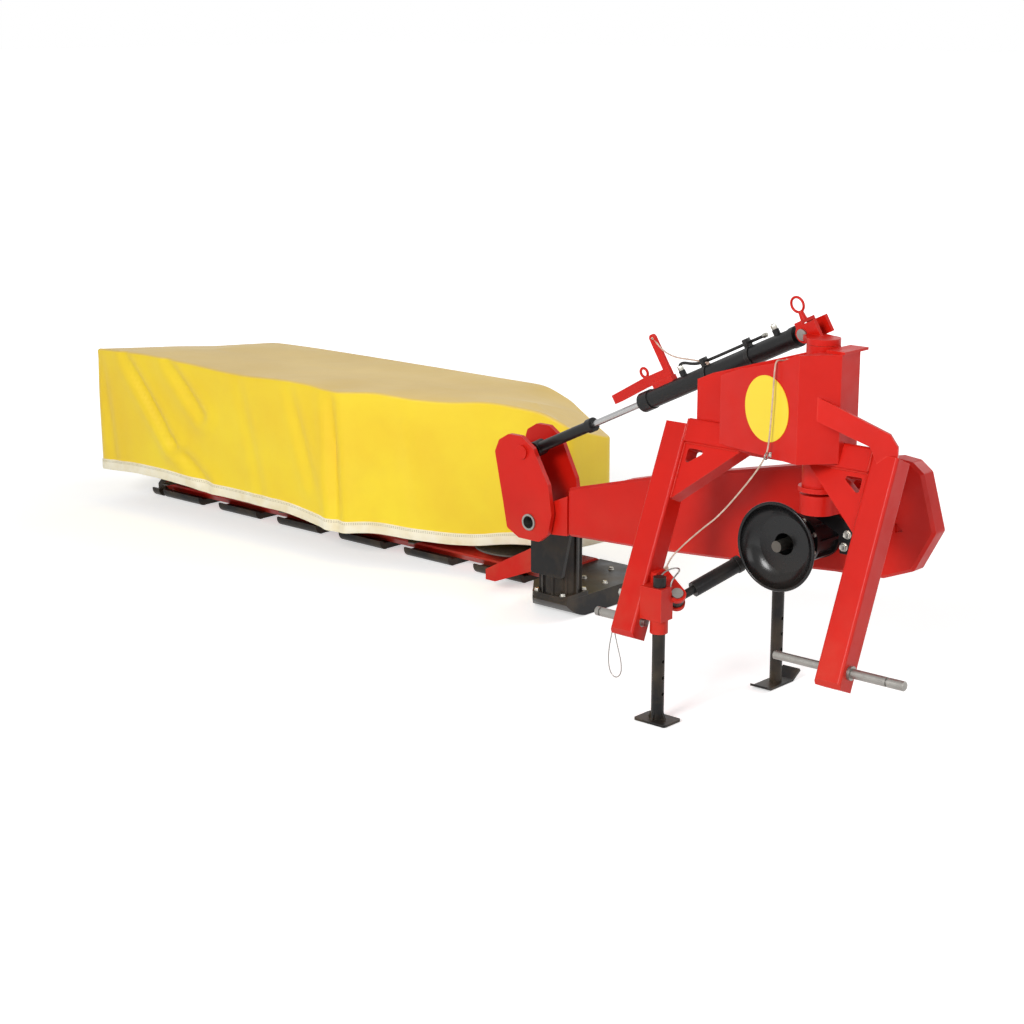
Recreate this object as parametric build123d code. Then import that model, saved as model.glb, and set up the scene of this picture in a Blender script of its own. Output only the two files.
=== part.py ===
from build123d import *
import math
import os

os.makedirs("parts", exist_ok=True)

# All sizes are in millimetres and degrees.
# Origin: middle of the two lower hitch pins. The bar cuts towards -X, +Y is rearward, +Z up.

# Ground and running fits
GROUND = -309.0
RUN_GAP = 0.05
OVERCUT = 50.0

# Hitch legs, leaning back from the pins
HITCH_SPAN = 825.0
LEAN = 23.2
LEG_WIDE = 86.0
LEG_DEEP = 78.0
LEG_LOW = -55.0
LEG_TOP = 620.0
TUBE_ROUND = 9.0
TOE_CUT = 22.0

# Lower hitch pins: seat of 28.7, thicker shank inside the leg
SEAT_R = 14.35
SHANK_R = 16.0
INNER_ROD_R = 12.5
COLLAR_R = 21.0
COLLAR_LONG = 9.0
LEFT_SEAT = 64.0
RIGHT_SEAT = 112.0
PIN_NECK_R = 11.0
PIN_NECK = 6.0
LEFT_TIP = 16.0
RIGHT_TIP = 52.0
LEFT_STUB = 14.0
RIGHT_INNER = 168.0
PIN_BEVEL = 2.5

# Cross beam and corner braces in the plane of the legs
BEAM_LOW = 565.0
BEAM_TOP = 640.0
BRACE_REACH = 208.0
BRACE_DROP = 180.0
BRACE_THICK = 52.0
WINDOW_EDGE = 17.0
WINDOW_WIDE = 72.0
WINDOW_TALL = 52.0
WINDOW_ROUND = 8.0

# Pivot tube, king post and cap
PIVOT_X = 125.0
PIVOT_Y = 250.0
PIVOT_TUBE_R = 50.0
PIVOT_TUBE_LOW = 440.0
PIVOT_TUBE_TOP = 874.0
KING_R = 30.0
TUBE_LIP = 10.0
TUBE_LIP_TALL = 14.0
CAP_THICK = 18.0
CAP_GAP = 1.0

# Mast box: front plate turned about Z, sides closed back to the pivot tube
MAST_X = 80.0
MAST_Y = 112.0
MAST_TURN = 16.0
MAST_LEFT = 285.0
MAST_RIGHT = 70.0
MAST_SIDE_X = 229.0
MAST_SIDE_FRONT = 187.0
MAST_SIDE_BACK = 283.0
MAST_BACK_Y = 224.0
MAST_LOW = 545.0
MAST_TOP = 862.0
MAST_ROOF = ((-340.0, 731.0), (-195.0, 786.0), (-14.0, 831.0), (60.0, 862.0))
MAST_WALL = 12.0
CAP_PLATE = 8.0
CAP_PLATE_BACK = 313.0
LABEL_X = -67.0
LABEL_Z = 687.0
LABEL_R = 98.0
LABEL_THICK = 2.0

# Left brace plate behind the mast box, right brace from the mast to the leg top
PLATE_LEFT_X = -304.0
PLATE_SHOULDER_X = -248.0
PLATE_CORNER_Z = 724.0
PLATE_SHOULDER_Z = 749.0
PLATE_LOW_Z = 592.0
PLATE_THICK = 12.0
STRAP_START = (150.0, 130.0)
STRAP_TURN = 20.6
STRAP_THICK = 14.0
STRAP_OUTLINE = (
    (-12.0, 762.0), (-12.0, 690.0), (190.0, 608.0), (212.0, 556.0), (270.0, 556.0),
    (270.0, 612.0), (246.0, 648.0),
)

# Lift cylinder between the king post and the knuckle
BARREL_PIN = (35.0, 310.0, 895.0)
ROD_PIN_X = -1198.0
ROD_PIN_Z = 333.0
FOLD_RAISED = 60.0
BARREL_R = 30.0
BARREL_LONG = 780.0
GLAND_R = 33.0
GLAND_LONG = 46.0
CHROME_R = 11.0
ROD_END_R = 19.0
ROD_END_LONG = 320.0
LOCK_NUT_R = 24.0
LOCK_NUT_LONG = 26.0
ANCHOR_PIN_R = 12.0
BARREL_EYE_R = 24.0
BARREL_EYE_WIDE = 38.0
ROD_EYE_R = 28.0
ROD_EYE_WIDE = 44.0
ROD_CROSS_R = 12.5
ROD_CROSS_LONG = 68.0
EAR_THICK = 12.0
EAR_R = 27.0
EAR_LONG = 96.0
FORK_GAP = 1.0
EYE_ROOM = 5.0
PIN_HEAD_R = 18.0
PIN_HEAD = 6.0
SIDE_PLATE = ((36.0, 40.0), (128.0, 40.0), (128.0, 112.0), (96.0, 150.0), (36.0, 150.0))
SIDE_PLATE_THICK = 20.0
PORT_AT = (122.0, 560.0)
BARREL_NECK = 44.0
EYE_STEM_R = 18.0
ROD_ROOM = 90.0
ROD_BURIED = 250.0
EAR_BACK = 62.0
BRIDGE_HALF = 14.0
BRIDGE_THICK = 10.0
PORT_R = 11.0
PORT_TALL = 46.0
RING_STEM_R = 8.0
RING_STEM_TALL = 24.0
RING_R = 23.0
RING_WIRE = 4.0

# Transport lock over the lift cylinder
LOCK_NEAR = 604.0
LOCK_BEND = 735.0
LOCK_LOW = 39.0
LOCK_HOOK = 7.0
LOCK_FOOT = 96.0
LOCK_TIP = 905.0
LOCK_WIDE = 34.0
LOCK_THICK = 12.0
LOCK_DROP = 10.0
LEVER_WIDE = 28.0
LEVER_THICK = 10.0
LEVER_REACH = 176.0
LEVER_HOLE_R = 6.0
LOCK_RING_AT = 722.0
LOCK_RING_R = 15.0
LOCK_RING_WIRE = 4.5

# Crank, belt guard and arm
CRANK_LOW = 372.0
CRANK_TOP = 430.0
CRANK_HUB_R = 54.0
CRANK_TAIL = (35.0, 205.0)
CRANK_RIB = 13.0
CRANK_POCKET = 20.0
ARM_FRONT = 462.0
GUARD_DEEP = 60.0
ARM_DEEP = 56.0
GUARD_BEVEL = 9.0
POCKET_X = (-1040.0, -780.0)
POCKET_Z = (176.0, 340.0)
POCKET_SKIN = 14.0
GUARD_OUTLINE = (
    (-1017.0, 228.0), (-642.0, 327.0), (250.0, 520.0), (308.0, 514.0), (348.0, 484.0),
    (398.0, 312.0), (330.0, 183.0), (226.0, 142.0), (81.0, 134.0), (-398.0, 93.0),
    (-725.0, 71.0), (-1017.0, 60.0),
)
GUARD_ROUND = 14.0
VENT = ((262.0, 327.0), (292.0, 300.0), (262.0, 292.0))
VENT_DEEP = 9.0
VENT_ROUND = 3.0
ARM_OUTLINE = (
    (-1110.0, 58.0), (-1017.0, 75.0), (150.0, 120.0), (150.0, 235.0), (-860.0, 200.0),
    (-1110.0, 150.0),
)
ARM_NOSE = ((-1130.0, 50.0), (-1017.0, 60.0), (-1017.0, 200.0), (-1130.0, 150.0))

# Fold hinge between the arm and the knuckle
HINGE_X = -1166.0
HINGE_Z = 90.0
HINGE_R = 48.0
FOLD_SHAFT_R = 29.0
FOLD_SHAFT_BORE = 22.0
CHEEK_THICK = 18.0
CHEEK_GAP = 8.0
CHEEK_OUTLINE = (
    (-1325.0, 318.0), (-1306.0, 362.0), (-1262.0, 388.0), (-1205.0, 388.0), (-1150.0, 352.0),
    (-1082.0, 232.0), (-1066.0, 130.0), (-1082.0, 58.0), (-1122.0, 26.0), (-1214.0, 26.0),
    (-1269.0, 54.0), (-1288.0, 148.0),
)
CHEEK_ROUND = 16.0
REAR_CHEEK_RISE = 14.0
KNUCKLE_WEB = ((-1319.0, 326.0), (-1303.0, 330.0), (-1270.0, 152.0), (-1286.0, 150.0))
SHAFT_OUT = 6.0
BOSS_R = 24.0
BOSS_LONG = 9.0

# Power input, shield bowl and shaft
INPUT_Z = 250.0
INPUT_SHAFT_R = 22.0
SPLINE_R = 17.4
SPLINE_TIP_Y = 225.0
DRUM_R = 66.0
DRUM_FRONT = 330.0
DRUM_RIB_R = 79.0
DRUM_RIB_THICK = 9.0
DRUM_RIBS = 8
DRUM_FLANGE = 14.0
NECK_R = 56.0
NECK_FRONT = 270.0
BOWL_MOUTH_R = 135.0
BOWL_BACK_R = 92.0
BOWL_DEEP = 48.0
BOWL_WALL = 4.0
BOWL_HOLE_R = 34.0
BOWL_BULGE = 9.0
SHAFT_SHORT = 7.0
SHIELD_BRACKET = (
    (56.0, 372.0), (112.0, 372.0), (198.0, 318.0), (198.0, 236.0), (156.0, 236.0), (150.0, 296.0),
    (56.0, 336.0),
)
SHIELD_BRACKET_THICK = 8.0
RIM_R = 5.0

# Breakaway strut
STRUT_IN = 71.5
STRUT_A_Y = 75.0
STRUT_A_Z = 70.0
STRUT_B = (-113.0, 425.0, 215.0)
SWING_BACK = 25.0
STRUT_PIN_R = 13.0
STRUT_EYE_R = 22.0
STRUT_EYE_WIDE = 30.0
SLEEVE_R = 24.0
SLEEVE_LONG = 240.0
SLEEVE_START = 62.0
STRUT_ROD_R = 16.0
STRUT_NECK_R = 11.0
STRUT_TIP_R = 20.0
STRUT_TIP_PIN = 10.0
LUG_WIDE = 60.0
LUG_BACK = 26.0
LUG_HALF = 42.0
LUG_CHEEK = 13.0
LUG_BOSS_R = 15.0
LUG_BOSS = 8.0
SLEEVE_LIP = 16.0
SLEEVE_BORE = 75.0
ROD_NECK = 60.0
STRUT_TIP_HALF = 22.0

# Parking stands
STAND_R = 20.0
FRONT_STAND_IN = 51.5
FRONT_STAND_Y = 14.0
REAR_STAND_X = -205.0
FRONT_STAND_TOP = 150.0
REAR_STAND_TOP = 330.0
FOOT_THICK = 8.0
FRONT_FOOT = (120.0, 86.0)
REAR_FOOT = (66.0, 190.0)
HEEL_RISE = 26.0
HEEL_LONG = 42.0
FOOT_RIB = 34.0
GUSSET = 8.0
STAND_HOLES = 3
STAND_HOLE_R = 6.0
STAND_HOLE_PITCH = 52.0
STAND_HOLE_LOW = -220.0
REAR_HOLE_LOW = -190.0
SOCKET_WALL = 9.0
SOCKET_LOW = 16.0
SOCKET_TOP = 118.0
COLLAR_LOW = -26.0
COLLAR_OUT_R = 28.0

# Gearbox at the inner end of the bar
GEAR_X = -1230.0
GEAR_Y = 682.0
GEAR_LOW = -235.0
GEAR_TOP = 30.0
GEAR_DRUM_R = 70.0
GEAR_RIB_R = 77.0
GEAR_RIB_THICK = 8.0
GEAR_RIBS = 10
GEAR_FLANGE = 160.0
GEAR_ROUND = 26.0
GEAR_CAP_R = 38.0
GEAR_FLANGE_THICK = 16.0
GEAR_MOUNT = (
    (-1304.0, -150.0), (-1304.0, 120.0), (-1118.0, 138.0), (-1118.0, 40.0), (-1160.0, -150.0),
)
MOUNT_PLATE = 14.0

# Cutterbar and its discs
DISC_COUNT = 6
DISC_X = -1712.0
DISC_Y = 1020.0
DISC_PITCH = 375.0
DISC_R = 183.0
HUB_R = 72.0
CROWN_R = 42.0
BLADE_REACH = 245.0
BLADE_ROOT = 138.0
BLADE_WIDE = 46.0
BLADE_THICK = 4.0
BLADE_BOLT_R = 10.0
BLADE_BOLT_AT = 162.0
SPINDLE_R = 20.0
BAR_LOW = -285.0
BAR_TOP = -226.0
BAR_FRONT = 905.0
BAR_BACK = 1150.0
BAR_SHARE = 26.0
BAR_END = 150.0
BAR_INNER_X = -1425.0
STATION_R = 80.0
STATION_TALL = 12.0
SPINDLE_FLOOR = 10.0
BLADE_LOW = -216.0
DISC_LOW = -206.0
DISC_TOP = -165.0
DISC_SKIN = 6.0
SKID_WIDE = 240.0
SKID_NOSE = 34.0
SKID_HEEL = 32.0
SKID_SOLE = 8.0

# Inner and outer shoes
SHOE_INNER_X = -1150.0
SHOE_TOP = -235.0
SHOE_FRONT = 620.0
SHOE_SOLE = 16.0
SHOE_HEEL = 14.0
SHOE_CURL = 110.0
SHOE_CUT_X = 115.0
SHOE_CUT_Y = 140.0
BRACE_FRONT = 732.0
BAR_BRACE = (
    (-1240.0, -60.0), (-1330.0, -70.0), (-1372.0, -84.0), (-1640.0, -228.0), (-1640.0, -268.0),
    (-1592.0, -268.0), (-1400.0, -190.0), (-1240.0, -170.0),
)
BAR_BRACE_FOOT = (-1640.0, -1592.0, -268.0, -232.0)
OUTER_SHOE_WIDE = 46.0

# Canopy cloth, open below, over its tube frame
CANOPY_PLAN = (
    (-3870.0, 650.0), (-2346.0, 650.0), (-1790.0, 850.0), (-1402.0, 932.0), (-1402.0, 1196.0),
    (-1730.0, 1347.0), (-3870.0, 1347.0),
)
CANOPY_TOP = 365.0
CANOPY_LOW = -160.0
CLOTH = 4.0
INNER_HIP = ((-1860.0, 1347.0, 365.0), (-1402.0, 1196.0, 234.0), (-1402.0, 932.0, 312.0))
OUTER_HIP = ((-3870.0, 650.0, 365.0), (-3450.0, 1347.0, 365.0), (-3870.0, 1347.0, 299.0))
FRAME_R = 12.0
SPINE_Y = 985.0
SPINE_Z = 262.0
SPINE_R = 20.0
POST_X = -1413.0
POST_WIDE = 70.0
POST_THICK = 12.0
SPINE_END_X = -3846.0
HIP_BOX = 8000.0
RIB_R = 9.0
RIB_STRAP = 4.0
RIB_BACK = 1322.0
RIBS = ((-3440.0, 674.0), (-2900.0, 674.0), (-2190.0, 732.0))
FRONT_RAIL = (
    (-3848.0, 1325.0, 283.0), (-3848.0, 672.0, 343.0), (-2350.0, 672.0, 343.0),
    (-1795.0, 873.0, 343.0), (-1562.0, 922.0, 338.0), (-1464.0, 950.0, 296.0),
)
REAR_RAIL = (
    (-3848.0, 1325.0, 283.0), (-3450.0, 1325.0, 343.0), (-1885.0, 1325.0, 343.0),
    (-1750.0, 1320.0, 300.0), (-1464.0, 1168.0, 232.0), (-1464.0, 950.0, 296.0),
)


def block(x0, x1, y0, y1, z0, z1):
    size = (abs(x1 - x0), abs(y1 - y0), abs(z1 - z0))
    return Pos((x0 + x1) / 2, (y0 + y1) / 2, (z0 + z1) / 2) * Box(*size)


def bar(p, q, r):
    start = Vector(*p)
    end = Vector(*q)
    plane = Plane(origin=start, z_dir=(end - start).normalized())
    return plane * Cylinder(r, (end - start).length, align=(Align.CENTER, Align.CENTER, Align.MIN))


def taper(p, q, r0, r1):
    start = Vector(*p)
    end = Vector(*q)
    plane = Plane(origin=start, z_dir=(end - start).normalized())
    long = (end - start).length
    return plane * Cone(r0, r1, long, align=(Align.CENTER, Align.CENTER, Align.MIN))


def x_rod(y, z, r, x0, x1):
    return bar((x0, y, z), (x1, y, z), r)


def y_rod(x, z, r, y0, y1):
    return bar((x, y0, z), (x, y1, z), r)


def z_rod(x, y, r, z0, z1):
    return bar((x, y, z0), (x, y, z1), r)


def xz_plate(points, y0, y1, rounding=0.0):
    face = make_face(Polyline([(x, 0, z) for x, z in points], close=True))
    if rounding:
        face = fillet(face.vertices(), rounding)
    return Pos(0, y0, 0) * extrude(face, y1 - y0, dir=(0, 1, 0))


def xy_plate(points, z0, z1, rounding=0.0):
    face = make_face(Polyline([(x, y, 0) for x, y in points], close=True))
    if rounding:
        face = fillet(face.vertices(), rounding)
    return Pos(0, 0, z0) * extrude(face, z1 - z0, dir=(0, 0, 1))


def yz_plate(points, x0, x1, rounding=0.0):
    face = make_face(Polyline([(0, y, z) for y, z in points], close=True))
    if rounding:
        face = fillet(face.vertices(), rounding)
    return Pos(x0, 0, 0) * extrude(face, x1 - x0, dir=(1, 0, 0))


def outline(start, moves):
    edges = []
    here = start
    for move in moves + [start]:
        if isinstance(move[0], tuple):
            middle, end = move
            edges.append(ThreePointArc(here, middle, end))
        else:
            end = move
            edges.append(Line(here, end))
        here = end
    return make_face(Wire(edges))


def leaned(shape):
    return Rot(-LEAN, 0, 0) * shape


def rounded_tube(wide, deep, long, rounding):
    return extrude(RectangleRounded(wide, deep, rounding), long)


def turned(shape):
    return Pos(MAST_X, MAST_Y, 0) * Rot(0, 0, -MAST_TURN) * shape


def between(start, direction, d0, d1, r):
    return bar(tuple(start + direction * d0), tuple(start + direction * d1), r)


def step(name, shape):
    solid = shape if isinstance(shape, Solid) else shape.solid()
    solid.label = name
    export_step(solid, "parts/" + name + ".step")


leg_out = HITCH_SPAN / 2
leg_in = leg_out - LEG_WIDE
arm_mid = ARM_FRONT + GUARD_DEEP
arm_back = arm_mid + ARM_DEEP
front_stand = (FRONT_STAND_IN - leg_in, FRONT_STAND_Y)
rear_stand = (REAR_STAND_X, (arm_mid + arm_back) / 2)
strut_a = Vector(STRUT_IN - leg_in, STRUT_A_Y, STRUT_A_Z)
cheek_front = ARM_FRONT - CHEEK_GAP - CHEEK_THICK
cheek_back = arm_back + CHEEK_GAP + CHEEK_THICK
eye_pin = Vector(ROD_PIN_X, (cheek_front + cheek_back) / 2, ROD_PIN_Z)

# Hitch legs: rounded square tube with a cut toe and the pin bore
leg_mid = (leg_out + leg_in) / 2
for name, side in (("leg_left", -1), ("leg_right", 1)):
    leg = Pos(0, 0, LEG_LOW) * rounded_tube(LEG_WIDE, LEG_DEEP, LEG_TOP - LEG_LOW, TUBE_ROUND)
    toe = Pos(0, -LEG_DEEP / 2, LEG_LOW) * Rot(45, 0, 0) * Box(2 * LEG_WIDE, TOE_CUT, TOE_CUT)
    leg = leaned(Pos(side * leg_mid, 0, 0) * (leg - toe))
    step(name, leg - x_rod(0, 0, SHANK_R, -leg_out - OVERCUT, leg_out + OVERCUT))

# Lower hitch pins, stepped
for name, side, seat, tip, inner in (
    ("lower_pin_left", -1, LEFT_SEAT, LEFT_TIP, LEFT_STUB),
    ("lower_pin_right", 1, RIGHT_SEAT, RIGHT_TIP, RIGHT_INNER),
):
    seat_start = leg_out + COLLAR_LONG
    neck_start = seat_start + seat
    tip_start = neck_start + PIN_NECK
    pin = x_rod(0, 0, INNER_ROD_R, side * (leg_in - inner), side * leg_in)
    pin = pin + x_rod(0, 0, SHANK_R, side * leg_in, side * leg_out)
    pin = pin + x_rod(0, 0, COLLAR_R, side * leg_out, side * seat_start)
    pin = pin + x_rod(0, 0, SEAT_R, side * seat_start, side * neck_start)
    pin = pin + x_rod(0, 0, PIN_NECK_R, side * neck_start, side * tip_start)
    pin = pin + x_rod(0, 0, SEAT_R, side * tip_start, side * (tip_start + tip - PIN_BEVEL))
    end = (side * (tip_start + tip), 0, 0)
    bevel_start = (side * (tip_start + tip - PIN_BEVEL), 0, 0)
    step(name, pin + taper(bevel_start, end, SEAT_R, SEAT_R - PIN_BEVEL))

# Cross beam between the legs
pivot_bore = z_rod(PIVOT_X, PIVOT_Y, PIVOT_TUBE_R, MAST_LOW - 5 * OVERCUT, MAST_TOP + OVERCUT)
beam_deep = BEAM_TOP - BEAM_LOW
beam = Rot(0, 90, 0) * rounded_tube(beam_deep, LEG_DEEP, 2 * leg_in, TUBE_ROUND)
beam = leaned(Pos(-leg_in, 0, (BEAM_TOP + BEAM_LOW) / 2) * beam)
step("cross_beam", beam - pivot_bore)

# Corner braces with a window, in the plane of the legs
for name, side in (("corner_brace_left", -1), ("corner_brace_right", 1)):
    corner = side * leg_in
    corner_points = [
        (side * (leg_in - BRACE_REACH), BEAM_LOW), (corner, BEAM_LOW), (corner, BEAM_LOW - BRACE_DROP),
    ]
    hole_x = corner - side * WINDOW_EDGE
    hole_top = BEAM_LOW - WINDOW_EDGE
    hole = [
        (hole_x - side * WINDOW_WIDE, hole_top), (hole_x, hole_top), (hole_x, hole_top - WINDOW_TALL),
    ]
    brace = xz_plate(corner_points, -BRACE_THICK / 2, BRACE_THICK / 2)
    brace = brace - xz_plate(hole, -BRACE_THICK, BRACE_THICK, WINDOW_ROUND)
    step(name, leaned(brace) - pivot_bore)

# Pivot tube with the bore for the king post
tube = z_rod(PIVOT_X, PIVOT_Y, PIVOT_TUBE_R, PIVOT_TUBE_LOW, PIVOT_TUBE_TOP)
tube = tube + z_rod(PIVOT_X, PIVOT_Y, PIVOT_TUBE_R + TUBE_LIP, PIVOT_TUBE_LOW, PIVOT_TUBE_LOW + TUBE_LIP_TALL)
king_bore = z_rod(PIVOT_X, PIVOT_Y, KING_R + RUN_GAP, CRANK_LOW - OVERCUT, MAST_TOP + 3 * OVERCUT)
step("pivot_tube", tube - king_bore)

# Mast box: plan profile with a sloping roof, hollow, open towards the tube
turn = math.radians(MAST_TURN)
front_left = (MAST_X - MAST_LEFT * math.cos(turn), MAST_Y + MAST_LEFT * math.sin(turn))
front_right = (MAST_X + MAST_RIGHT * math.cos(turn), MAST_Y - MAST_RIGHT * math.sin(turn))
mast_plan = [
    front_left, front_right, (MAST_SIDE_X, MAST_SIDE_FRONT), (MAST_SIDE_X, MAST_SIDE_BACK),
    (PIVOT_X + PIVOT_TUBE_R / 2, MAST_SIDE_BACK), (PIVOT_X - PIVOT_TUBE_R, MAST_BACK_Y),
    (front_left[0], MAST_BACK_Y),
]


def above_roof(drop):
    wedge = [(x, z - drop) for x, z in MAST_ROOF]
    wedge = wedge + [(MAST_ROOF[-1][0], MAST_TOP + OVERCUT), (MAST_ROOF[0][0], MAST_TOP + OVERCUT)]
    return turned(xz_plate(wedge, -3 * OVERCUT, 6 * OVERCUT))


leaned_beam_gap = leaned(
    block(-leg_in, leg_in, -LEG_DEEP / 2, 3 * LEG_DEEP / 2, LEG_TOP / 2, BEAM_TOP))
mast = xy_plate(mast_plan, MAST_LOW, MAST_TOP) - above_roof(0.0)
mast_face = make_face(Polyline([(x, y, 0) for x, y in mast_plan], close=True))
hollow_face = offset(mast_face, -MAST_WALL, kind=Kind.INTERSECTION)
hollow_tall = MAST_TOP - MAST_LOW + OVERCUT - MAST_WALL
hollow = Pos(0, 0, MAST_LOW - OVERCUT) * extrude(hollow_face, hollow_tall, dir=(0, 0, 1))
hollow = hollow - above_roof(MAST_WALL)
hollow = hollow - block(0, MAST_SIDE_X, PIVOT_Y - PIVOT_TUBE_R + MAST_WALL, MAST_SIDE_BACK, 0, MAST_TOP)
mast = mast - hollow - leaned_beam_gap - pivot_bore
cap_plate = block(PIVOT_X + PIVOT_TUBE_R, MAST_SIDE_X + CAP_PLATE, MAST_SIDE_FRONT, CAP_PLATE_BACK,
                  MAST_TOP, MAST_TOP + CAP_PLATE)
mast = mast + (cap_plate - pivot_bore)
step("mast_box", mast)

# Round label disc, left bare
step("label_plate", turned(y_rod(LABEL_X, LABEL_Z, LABEL_R, -LABEL_THICK, 0)))

# Left brace plate behind the mast box
plate = [
    (PLATE_LEFT_X, PLATE_LOW_Z), (PLATE_LEFT_X, PLATE_CORNER_Z), (PLATE_SHOULDER_X, PLATE_SHOULDER_Z),
    (PIVOT_X, MAST_TOP), (PIVOT_X, PLATE_LOW_Z),
]
plate = xz_plate(plate, MAST_BACK_Y, MAST_BACK_Y + PLATE_THICK)
plate = plate - xy_plate(mast_plan, MAST_LOW, MAST_TOP)
step("upper_brace_left", plate - leaned_beam_gap - pivot_bore)

# Right brace strap from the mast to the leg top
strap = xz_plate(STRAP_OUTLINE, -STRAP_THICK / 2, STRAP_THICK / 2)
strap = Pos(*STRAP_START, 0) * Rot(0, 0, STRAP_TURN) * strap
leg_gap = leaned(block(-leg_out, leg_out, -LEG_DEEP / 2, LEG_DEEP / 2, LEG_TOP / 2, LEG_TOP))
strap = strap - xy_plate(mast_plan, MAST_LOW - OVERCUT, MAST_TOP + OVERCUT)
step("upper_brace_right", strap - leaned_beam_gap - leg_gap - pivot_bore)

# Breakaway strut line and the axis that it turns about
strut_b = Vector(*STRUT_B)
pivot_line = Vector(PIVOT_X, PIVOT_Y, 0)
swung = strut_b - pivot_line
swing = math.radians(SWING_BACK)
swung = pivot_line + Vector(
    swung.X * math.cos(swing) + swung.Y * math.sin(swing),
    swung.Y * math.cos(swing) - swung.X * math.sin(swing), swung.Z)
strut_axis = (swung - strut_a).cross(strut_b - strut_a).normalized()
push = (strut_b - strut_a).normalized()
strut_long = (strut_b - strut_a).length
strut_frame = Plane(origin=strut_a, x_dir=push, z_dir=strut_axis)

# Bracket inside the left leg: socket of the front stand and clevis of the strut
stand_x, stand_y = front_stand
stand_bore = z_rod(stand_x, stand_y, STAND_R + RUN_GAP, 2 * COLLAR_LOW, SOCKET_TOP + OVERCUT)
socket_half = STAND_R + SOCKET_WALL
bracket = block(-leg_in, stand_x + socket_half, stand_y - socket_half, stand_y + socket_half,
                SOCKET_LOW, SOCKET_TOP)
side_plate = yz_plate(SIDE_PLATE, -leg_in, SIDE_PLATE_THICK - leg_in, TUBE_ROUND)
fork = STRUT_EYE_WIDE / 2 + FORK_GAP
pin_half = fork + EAR_THICK
bracket = bracket - between(strut_a, strut_axis, -pin_half - EAR_THICK, pin_half + EAR_THICK, EAR_R)
bracket = bracket + side_plate
for s in (-1, 1):
    ear = block(-EAR_R, EAR_R, 0, EAR_LONG, s * fork, s * pin_half)
    ear = ear + Pos(0, 0, s * (fork + EAR_THICK / 2)) * Cylinder(EAR_R, EAR_THICK)
    bracket = bracket + strut_frame * ear
    bracket = bracket - between(strut_a, strut_axis, s * pin_half, s * 2 * pin_half, PIN_HEAD_R + FORK_GAP)
bracket = bracket - between(strut_a, strut_axis, -fork, fork, STRUT_EYE_R + EYE_ROOM)
bracket = bracket - between(strut_a, strut_axis, -OVERCUT, OVERCUT, STRUT_PIN_R)
bracket = bracket - block(-leg_out, -leg_in, -3 * OVERCUT, 5 * OVERCUT, COLLAR_LOW, 5 * OVERCUT)
collar = z_rod(stand_x, stand_y, COLLAR_OUT_R, COLLAR_LOW, SOCKET_LOW)
step("stand_bracket", (bracket + collar) - stand_bore)
pin = between(strut_a, strut_axis, -pin_half, pin_half, STRUT_PIN_R)
for s in (-1, 1):
    pin = pin + between(strut_a, strut_axis, s * pin_half, s * (pin_half + PIN_HEAD), PIN_HEAD_R)
step("strut_pin_fixed", pin)

# Lift cylinder line and the axis that it turns about
anchor = Vector(*BARREL_PIN)
fold = math.radians(FOLD_RAISED)
arm_x = eye_pin.X - HINGE_X
arm_z = eye_pin.Z - HINGE_Z
raised = Vector(
    HINGE_X + arm_x * math.cos(fold) + arm_z * math.sin(fold), eye_pin.Y,
    HINGE_Z + arm_z * math.cos(fold) - arm_x * math.sin(fold))
pull = (eye_pin - anchor).normalized()
reach = (eye_pin - anchor).length
tilt_axis = (raised - anchor).cross(eye_pin - anchor).normalized()
lift_frame = Plane(origin=anchor, x_dir=pull, z_dir=tilt_axis)

# King post with its cap, the anchor ears of the lift cylinder and a lifting ring
cap_low = PIVOT_TUBE_TOP + CAP_GAP
cap_top = cap_low + CAP_THICK
king = z_rod(PIVOT_X, PIVOT_Y, KING_R, CRANK_LOW, cap_low)
king = king + z_rod(PIVOT_X, PIVOT_Y, PIVOT_TUBE_R, cap_low, cap_top)
back = Vector(PIVOT_X - anchor.X, PIVOT_Y - anchor.Y, 0)
stem_long = back.length
back = back.normalized()
arm_frame = Plane(origin=Vector(anchor.X, anchor.Y, cap_low), x_dir=back, z_dir=Vector(0, 0, 1))
fork_half = BARREL_EYE_WIDE / 2 + FORK_GAP
fork_out = fork_half + EAR_THICK
tongue = make_face(Polyline([
    (BARREL_EYE_R + EYE_ROOM, -fork_out), (BARREL_EYE_R + EYE_ROOM, fork_out),
    (stem_long, PIVOT_TUBE_R - FORK_GAP), (stem_long, FORK_GAP - PIVOT_TUBE_R),
], close=True))
king = king + arm_frame * extrude(tongue, CAP_THICK)
bridge_low = BARREL_EYE_R + EYE_ROOM
for s in (-1, 1):
    ear = Pos(0, 0, s * (fork_half + EAR_THICK / 2)) * Cylinder(EAR_R, EAR_THICK)
    ear = ear + block(-EAR_BACK, 0, -EAR_R, EAR_R, s * fork_half, s * fork_out)
    ear = ear + block(-BRIDGE_HALF, BRIDGE_HALF, 0, bridge_low + BRIDGE_THICK, s * fork_half, s * fork_out)
    king = king + lift_frame * ear
bridge = block(-BRIDGE_HALF, BRIDGE_HALF, bridge_low, bridge_low + BRIDGE_THICK, -fork_out, fork_out)
stem_top = bridge_low + BRIDGE_THICK + RING_STEM_TALL
king = king + lift_frame * bridge
king = king + lift_frame * taper((0, bridge_low, 0), (0, stem_top, 0), RING_STEM_R + RING_WIRE, RING_STEM_R)
king = king + lift_frame * Pos(0, stem_top + RING_R, 0) * Torus(RING_R, RING_WIRE)
pin_hole = between(anchor, tilt_axis, -fork_out - PIN_HEAD, fork_out + PIN_HEAD, ANCHOR_PIN_R)
pin = pin_hole
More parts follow.
